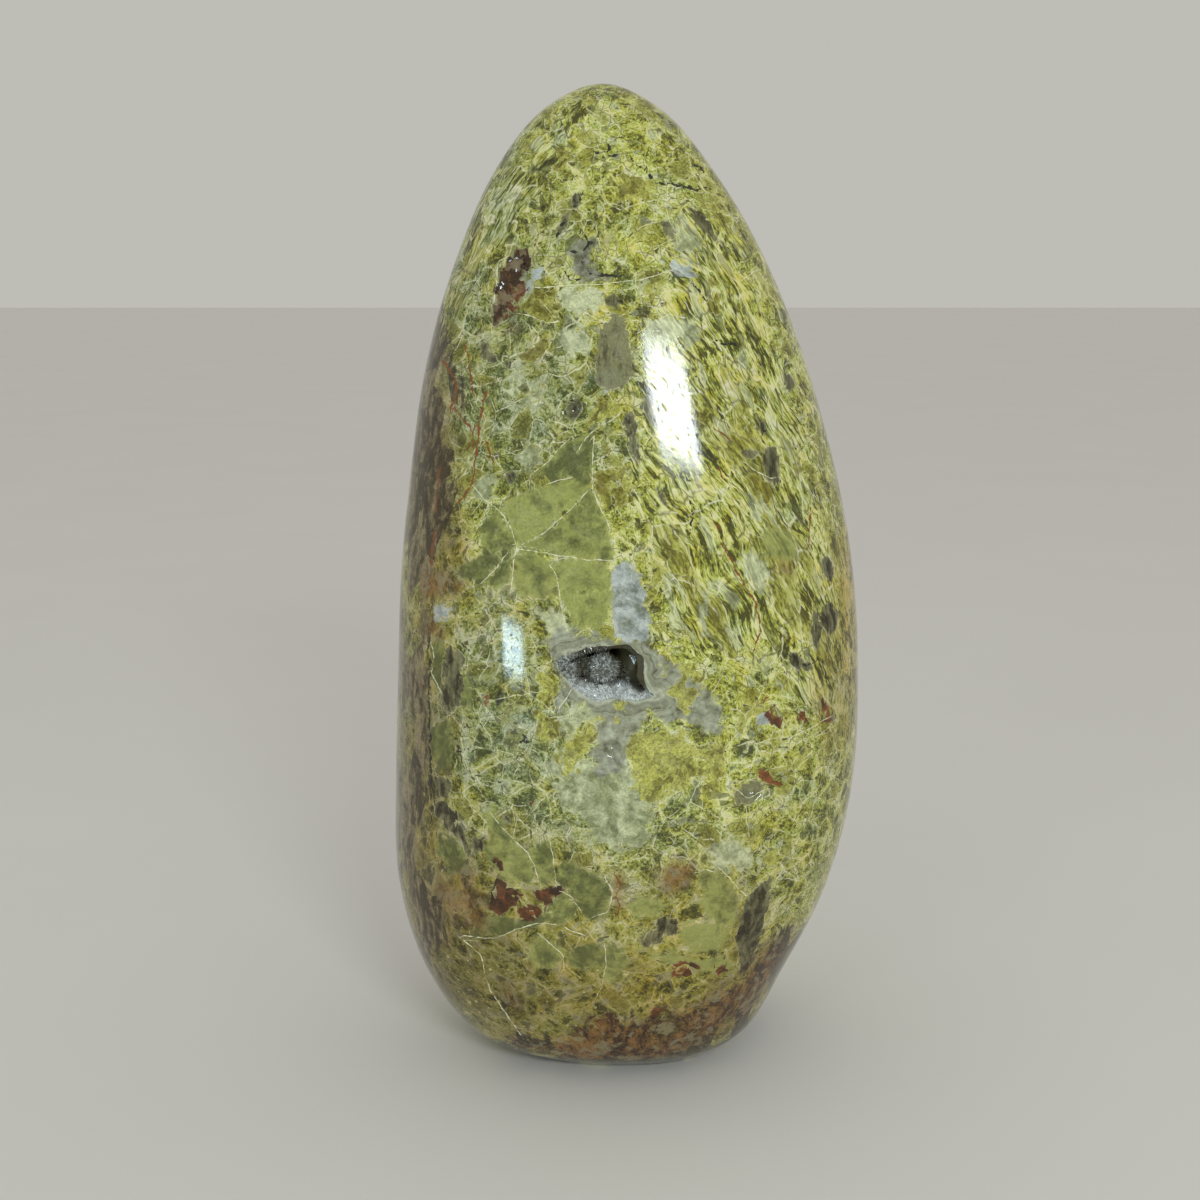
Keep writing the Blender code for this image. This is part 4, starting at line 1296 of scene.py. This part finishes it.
def lay_minerals(tree, spot, ground, fine, chips, breaks, patterns, islands, shade):
    """Lay the mineral patches over the ground, each with its pattern and pale rim."""
    ragged = add(tree, NOISE, {"Vector": spot, "Scale": 0.6, "Detail": 6.0, "Roughness": 0.68})
    ragged = add(tree, MATH, (ragged, 0.5), operation='SUBTRACT')
    scallops = add(tree, CELLS, {"Vector": spot, "Scale": 0.8})
    bubbles = add(tree, RANGE, (scallops, 0.10, 0.17, 0.35, 0.0))
    bubbles = add(tree, MATH, (bubbles, chips), operation='MULTIPLY')
    scallops = add(tree, MATH, (scallops, 0.45), operation='SUBTRACT')
    chips = add(tree, MATH, (chips, 0.5), operation='SUBTRACT')
    broken = add(tree, RANGE, (breaks, 0.42, 0.56, 0.1, 1.0))
    streaky = add(tree, MATH, (patterns["streaks"], 0.5), operation='SUBTRACT')
    for kind in MINERALS:
        field = add(tree, ATTRIBUTE, out=1, attribute_name=kind.field)
        field = add(tree, 'ShaderNodeSeparateXYZ', (field,)).node.outputs
        push = streaky if kind.pattern in ("streaks", "blocks") else ragged
        edge = add(tree, MATH, (push, kind.rough, field[0]), operation='MULTIPLY_ADD')
        for push, reach in ((chips, kind.chips), (scallops, kind.scallops)):
            if reach:
                edge = add(tree, MATH, (push, reach, edge), operation='MULTIPLY_ADD')
        cover = add(tree, RANGE, (edge, kind.soft, -kind.soft, 0.0, kind.cover),
                    interpolation_type='SMOOTHSTEP')
        if kind.pattern == "blocks":
            mossy = add(tree, RANGE, (islands, 0.29, 0.34, 0.35, 1.0))
            cover = add(tree, MATH, (cover, mossy), operation='MULTIPLY')
        tone = add(tree, MATH, (patterns[kind.pattern], 0.5), operation='SUBTRACT')
        tone = add(tree, MATH, (tone, kind.vary * 2.0, field[1]), operation='MULTIPLY_ADD')
        tone = add(tree, MATH, (chips, kind.grain * 0.4, tone), operation='MULTIPLY_ADD')
        halo = add(tree, RANGE, (edge, -HALO_REACH, 0.0, 0.0, kind.halo))
        if kind.field == "pane":
            halo = add(tree, MATH, (halo, bubbles), operation='ADD')
        tone = add(tree, MATH, (tone, halo), operation='ADD', use_clamp=True)
        colour = add(tree, MIX, {0: tone, 6: shade[kind.dark], 7: shade[kind.light]}, out=2,
                     data_type='RGBA')
        speckle = add(tree, MATH, (fine, kind.grain * 1.4, 1.0), operation='MULTIPLY_ADD')
        colour = add(tree, VECTOR, {0: colour, 3: speckle}, operation='SCALE')
        ground = add(tree, MIX, {0: cover, 6: ground, 7: colour}, out=2, data_type='RGBA')
        if kind.rim_strength:
            line = add(tree, MATH, (edge,), operation='ABSOLUTE')
            line = add(tree, RANGE, (line, 0.0, kind.rim, kind.rim_strength, 0.0))
            line = add(tree, MATH, (line, broken), operation='MULTIPLY')
            ground = add(tree, MIX, {0: line, 6: ground, 7: shade["cream"]}, out=2,
                         data_type='RGBA')
    return ground


def lay_lines(tree, spot, ground, shade):
    """Draw the cracks, fissures and veins, wavering and broken up here and there."""
    breaks = add(tree, NOISE, {"Vector": spot, "Scale": 1.5, "Detail": 2.0})
    waver = add(tree, NOISE, {"Vector": spot, "Scale": 0.7, "Detail": 3.0, "Roughness": 0.6})
    waver = add(tree, MATH, (waver, 0.5), operation='SUBTRACT')
    for name, colour, width, soft, reach, strength, least in LINES:
        field = add(tree, ATTRIBUTE, out=1, attribute_name=name)
        field = add(tree, 'ShaderNodeSeparateXYZ', (field,)).node.outputs
        line = add(tree, MATH, (waver, reach, field[0]), operation='MULTIPLY_ADD')
        line = add(tree, MATH, (line,), operation='ABSOLUTE')
        wide = add(tree, RANGE, (breaks, 0.35, 0.7, least, width * 2.5))
        line = add(tree, MATH, (line, wide), operation='SUBTRACT')
        line = add(tree, RANGE, (line, 0.0, soft, strength, 0.0))
        close = add(tree, RANGE, (field[1], 0.40, 0.60, 1.0, 0.0))
        line = add(tree, MATH, (line, close), operation='MULTIPLY')
        ground = add(tree, MIX, {0: line, 6: ground, 7: shade[colour]}, out=2, data_type='RGBA')
    return ground


def polished_moss_opal(shade):
    """Moss opal, polished by hand: a wet, glassy skin over patchy mossy colour.

    The polish gives clear, hard-edged reflections, and only pores and hair
    scratches break them.
    """
    material, tree, shader, mm = new_material("polished moss opal")
    spot = warped(tree, mm)
    space, in_fibre = ground_space(tree, spot)
    ground, fine, chips, strokes = moss_ground(tree, spot, space, in_fibre, shade)
    ground, breaks = ground_lines(tree, spot, space, strokes, ground, shade)
    patterns, mouth, islands = mineral_patterns(tree, mm, spot)
    ground = lay_minerals(tree, spot, ground, fine, chips, breaks, patterns, islands, shade)
    zone = add(tree, ATTRIBUTE, out=1, attribute_name="zone")
    zone = add(tree, 'ShaderNodeSeparateXYZ', (zone,)).node.outputs
    warm = add(tree, VECTOR, (ground, (1.0, 0.88, 0.84)), operation='MULTIPLY')
    ground = add(tree, MIX, {0: zone[2], 6: ground, 7: warm}, out=2, data_type='RGBA')
    stain = add(tree, ATTRIBUTE, out=1, attribute_name="stain")
    stain = add(tree, 'ShaderNodeSeparateXYZ', (stain,)).node.outputs
    edge = add(tree, MATH, (patterns["cloud"], -5.0, stain[0]), operation='MULTIPLY_ADD')
    cover = add(tree, RANGE, (edge, -1.6, -4.5, 0.0, 0.85), interpolation_type='SMOOTHSTEP')
    tone = add(tree, MATH, (fine, 0.45, patterns["blocks"]), operation='MULTIPLY_ADD')
    tone = add(tree, MATH, (tone, 6.0, stain[1]), operation='MULTIPLY_ADD')
    tone = add(tree, MATH, (tone, 3.05), operation='SUBTRACT', use_clamp=True)
    rust = add(tree, MIX, {0: tone, 6: shade["rust_dark"], 7: shade["stain"]}, out=2,
               data_type='RGBA')
    fleck = add(tree, RANGE, (patterns["cloud"], 0.53, 0.58, 0.0, 0.8))
    rust = add(tree, MIX, {0: fleck, 6: rust, 7: shade["breccia_light"]}, out=2,
               data_type='RGBA')
    ground = add(tree, MIX, {0: cover, 6: ground, 7: rust}, out=2, data_type='RGBA')
    ground = lay_lines(tree, spot, ground, shade)
    lip = add(tree, RANGE, (mouth, 0.04, 0.26, 0.9, 0.0))
    ground = add(tree, MIX, {0: lip, 6: ground, 7: shade["agate_light"]}, out=2,
                 data_type='RGBA')
    relief = add(tree, NOISE, {"Vector": mm, "Scale": 1.6, "Detail": 4.0, "Roughness": 0.7})
    pits = add(tree, NOISE, {"Vector": space, "Scale": 3.0, "Detail": 0.0})
    pits = add(tree, RANGE, (pits, 0.70, 0.76, 0.0, 0.6))
    relief = add(tree, MATH, (relief, pits), operation='SUBTRACT')
    bump = add(tree, 'ShaderNodeBump', {
        "Strength": 0.05, "Distance": 0.12 * MM, "Height": relief,
    })
    rough = add(tree, RANGE, (pits, 0.0, 0.6, 0.075, 0.4))
    tree.links.new(ground, shader.inputs["Base Color"])
    tree.links.new(bump, shader.inputs["Normal"])
    tree.links.new(rough, shader.inputs["Roughness"])
    shader.inputs["IOR"].default_value = 1.5
    return material


def quartz_druse(shade):
    """Quartz crystals as they grew: bright, clear little faces that glitter."""
    material, tree, shader, mm = new_material("quartz druse")
    druse = add(tree, ATTRIBUTE, out=1, attribute_name="druse")
    druse = add(tree, 'ShaderNodeSeparateXYZ', (druse,)).node.outputs
    tint = add(tree, ATTRIBUTE, out=2, attribute_name="tint")
    cloud = add(tree, NOISE, {"Vector": mm, "Scale": 1.5, "Detail": 3.0})
    # The ledge's painted light makes its crystals whiter.
    white = add(tree, MATH, (tint, 1.5, druse[1]), operation='MULTIPLY_ADD')
    white = add(tree, MATH, (cloud, 0.9, white), operation='MULTIPLY_ADD')
    white = add(tree, RANGE, (white, 0.8, 2.3, 0.0, 1.0))
    colour = add(tree, MIX, {0: white, 6: shade["druse_dark"], 7: shade["druse_light"]}, out=2,
                 data_type='RGBA')
    # Painted shade: where the crust is not painted lit, its crystals and wall take the dark wall
    # colour.
    colour = add(tree, MIX, {0: druse[2], 6: shade["bare_quartz"], 7: colour}, out=2,
                 data_type='RGBA')
    specks = add(tree, NOISE, {"Vector": mm, "Scale": 2.0, "Detail": 2.0})
    specks = add(tree, RANGE, (specks, 0.68, 0.71, 0.0, 0.8))
    colour = add(tree, MIX, {0: specks, 6: colour, 7: shade["rust_dark"]}, out=2,
                 data_type='RGBA')
    tree.links.new(colour, shader.inputs["Base Color"])
    shader.inputs["Roughness"].default_value = 0.08
    shader.inputs["IOR"].default_value = 1.544
    shader.inputs["Transmission Weight"].default_value = 0.1
    return material


def pale_floor():
    """A smooth matt studio floor in warm light grey."""
    material, tree, shader, mm = new_material("pale matt floor")
    mottle = add(tree, NOISE, {"Vector": mm, "Scale": 0.02, "Detail": 5.0})
    colour = add(tree, MIX, {0: mottle, 6: FLOOR_DARK, 7: FLOOR_LIGHT}, out=2, data_type='RGBA')
    tree.links.new(colour, shader.inputs["Base Color"])
    shader.inputs["Roughness"].default_value = 0.7
    return material


def add_light(name, target, away, size, energy, colour):
    """Hang a soft rectangular light away from a target, facing it."""
    light = bpy.data.lights.new(name, 'AREA')
    light.shape = 'RECTANGLE'
    light.size, light.size_y = size
    light.energy = energy
    light.color = colour[:3]
    lamp = bpy.data.objects.new(name, light)
    bpy.context.collection.objects.link(lamp)
    lamp.location = target + away
    lamp.rotation_euler = away.to_track_quat('Z', 'Y').to_euler()
    return lamp


def mirrored_way(stone, pixel):
    """Return the point seen at a pixel, and the way a light must lie to shine back there."""
    right = (pixel[0] - PHOTO_SIZE / 2) / FOCAL_PIXELS
    up = (PHOTO_SIZE / 2 - pixel[1]) / FOCAL_PIXELS
    tilt, lift = math.cos(CAMERA_PITCH), math.sin(CAMERA_PITCH)
    ray = Vector((right, tilt + up * lift, -lift + up * tilt)).normalized()
    hit, point, normal, _ = stone.ray_cast(CAMERA_PLACE * MM, ray)
    if not hit:
        raise ValueError(f"the stone isn't seen at {pixel}")
    return point, ray.reflect(normal)


def add_camera():
    """Set up the camera where the photograph's stood."""
    camera = bpy.data.cameras.new("camera")
    camera.sensor_width = SENSOR_MM
    camera.lens = SENSOR_MM * FOCAL_PIXELS / PHOTO_SIZE
    camera.clip_start = 0.01
    holder = bpy.data.objects.new("camera", camera)
    bpy.context.collection.objects.link(holder)
    holder.location = CAMERA_PLACE * MM
    holder.rotation_euler = (math.pi / 2 - CAMERA_PITCH, 0.0, 0.0)
    bpy.context.scene.camera = holder


def light_world():
    """Fill the room with even, slightly cool light."""
    world = bpy.data.worlds.new("studio")
    world.use_nodes = True
    back = world.node_tree.nodes["Background"]
    back.inputs["Color"].default_value = ROOM_COLOUR
    back.inputs["Strength"].default_value = ROOM_STRENGTH
    bpy.context.scene.world = world


class OpalSizes(bpy.types.PropertyGroup):
    """Sizes of the hollow and its crystals."""

    hollow_depth: FloatProperty(
        name="Hollow depth", description="How far the hollow goes into the stone",
        default=HOLLOW_DEPTH * MM, min=0.003, max=0.012, unit='LENGTH',
    )
    crystal_radius: FloatProperty(
        name="Crystal radius", description="Radius of a quartz point",
        default=0.00015, min=0.00005, max=0.001, unit='LENGTH',
    )
    crystal_length: FloatProperty(
        name="Crystal length", description="Length of a quartz point",
        default=0.00036, min=0.0001, max=0.002, unit='LENGTH',
    )
    crystal_spacing: FloatProperty(
        name="Crystal spacing", description="Least distance between quartz points",
        default=0.00019, min=0.0001, max=0.002, unit='LENGTH',
    )
    crystal_seed: IntProperty(
        name="Crystal seed", description="Seed of the crystals' arrangement", default=7,
    )


class OpalColours(bpy.types.PropertyGroup):
    """Colours of the opal's minerals and of the quartz."""

    __annotations__ = {
        key: FloatVectorProperty(
            name=label, description=note, subtype='COLOR', size=3, min=0.0, max=1.0,
            default=linear(shade),
        )
        for key, (label, note, shade) in COLOURS.items()
    }


def chosen_colours():
    """Return the chosen colours with their opacity."""
    colours = bpy.context.scene.opal_colours
    return {key: (*getattr(colours, key), 1.0) for key in COLOURS}


class OPAL_OT_stone(bpy.types.Operator):
    """Build the polished stone with its hollow, its pits and its mineral patches"""

    bl_idname = "opal.stone"
    bl_label = "Opal stone"

    def execute(self, context):
        sizes = context.scene.opal_sizes
        stone = stone_body("opal_freeform_polished")
        press_pits(stone)
        cut_hollow(stone, sizes.hollow_depth / MM)
        outward(stone.data, CRISP_EDGE)
        mark_minerals(stone)
        stone.data.materials.clear()
        stone.data.materials.append(polished_moss_opal(chosen_colours()))
        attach(stone, "root")
        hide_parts("opal_freeform")
        return {'FINISHED'}


class OPAL_OT_druse(bpy.types.Operator):
    """Build the quartz crust in the hollow, with its crystals"""

    bl_idname = "opal.druse"
    bl_label = "Quartz druse"

    def execute(self, context):
        sizes = context.scene.opal_sizes
        depth = sizes.hollow_depth / MM
        place = stone_place()
        crust = crust_skin(place, depth)
        mark_crust(crust, place, depth)
        grow_crystals(crust, quartz_druse(chosen_colours()), sizes)
        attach(crust, "root")
        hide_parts("druzy_crust")
        return {'FINISHED'}


def stone_place():
    """Return the middle of the hollow's mouth and the way in, from the whole stone."""
    whole = stone_body("whole_stone")
    place = front_place(whole, *HOLLOW_PLACE)
    remove(whole)
    return place


class OPAL_OT_stage(bpy.types.Operator):
    """Set up the pale floor, the studio lights and the camera"""

    bl_idname = "opal.stage"
    bl_label = "Stage"

    def execute(self, context):
        floor = new_object("floor", [
            (-FLOOR_REACH, -FLOOR_REACH, 0.0), (FLOOR_REACH, -FLOOR_REACH, 0.0),
            (FLOOR_REACH, FLOOR_REACH, 0.0), (-FLOOR_REACH, FLOOR_REACH, 0.0),
        ], [(0, 1, 2, 3)], pale_floor())
        stone = bpy.data.objects["opal_freeform_polished"]
        for name, pixel, distance, size, energy, colour in LIGHTS:
            point, way = mirrored_way(stone, pixel)
            add_light(name, point, way * distance, size, energy, colour)
        light_world()
        add_camera()
        context.scene.view_settings.view_transform = 'Standard'
        return {'FINISHED'}


class OPAL_PT_panel(bpy.types.Panel):
    """Buttons and settings for the opal"""

    bl_idname = "OPAL_PT_panel"
    bl_label = "Green opal freeform"
    bl_space_type = 'VIEW_3D'
    bl_region_type = 'UI'
    bl_category = "Opal"

    def draw(self, context):
        for operator in OPERATORS:
            self.layout.operator(operator.bl_idname)
        for group in (context.scene.opal_sizes, context.scene.opal_colours):
            for key in group.bl_rna.properties.keys():
                if key not in ("rna_type", "name"):
                    self.layout.prop(group, key)


OPERATORS = (OPAL_OT_stone, OPAL_OT_druse, OPAL_OT_stage)
CLASSES = (OpalSizes, OpalColours, *OPERATORS, OPAL_PT_panel)


def register():
    """Register the add-on's classes and settings."""
    for kind in CLASSES:
        bpy.utils.register_class(kind)
    bpy.types.Scene.opal_sizes = PointerProperty(type=OpalSizes)
    bpy.types.Scene.opal_colours = PointerProperty(type=OpalColours)


def unregister():
    """Unregister the add-on's classes and settings."""
    del bpy.types.Scene.opal_colours
    del bpy.types.Scene.opal_sizes
    for kind in reversed(CLASSES):
        bpy.utils.unregister_class(kind)


def main():
    """Build the opal and its stage."""
    register()
    bpy.ops.opal.stone()
    bpy.ops.opal.druse()
    bpy.ops.opal.stage()


if __name__ == "__main__":
    main()
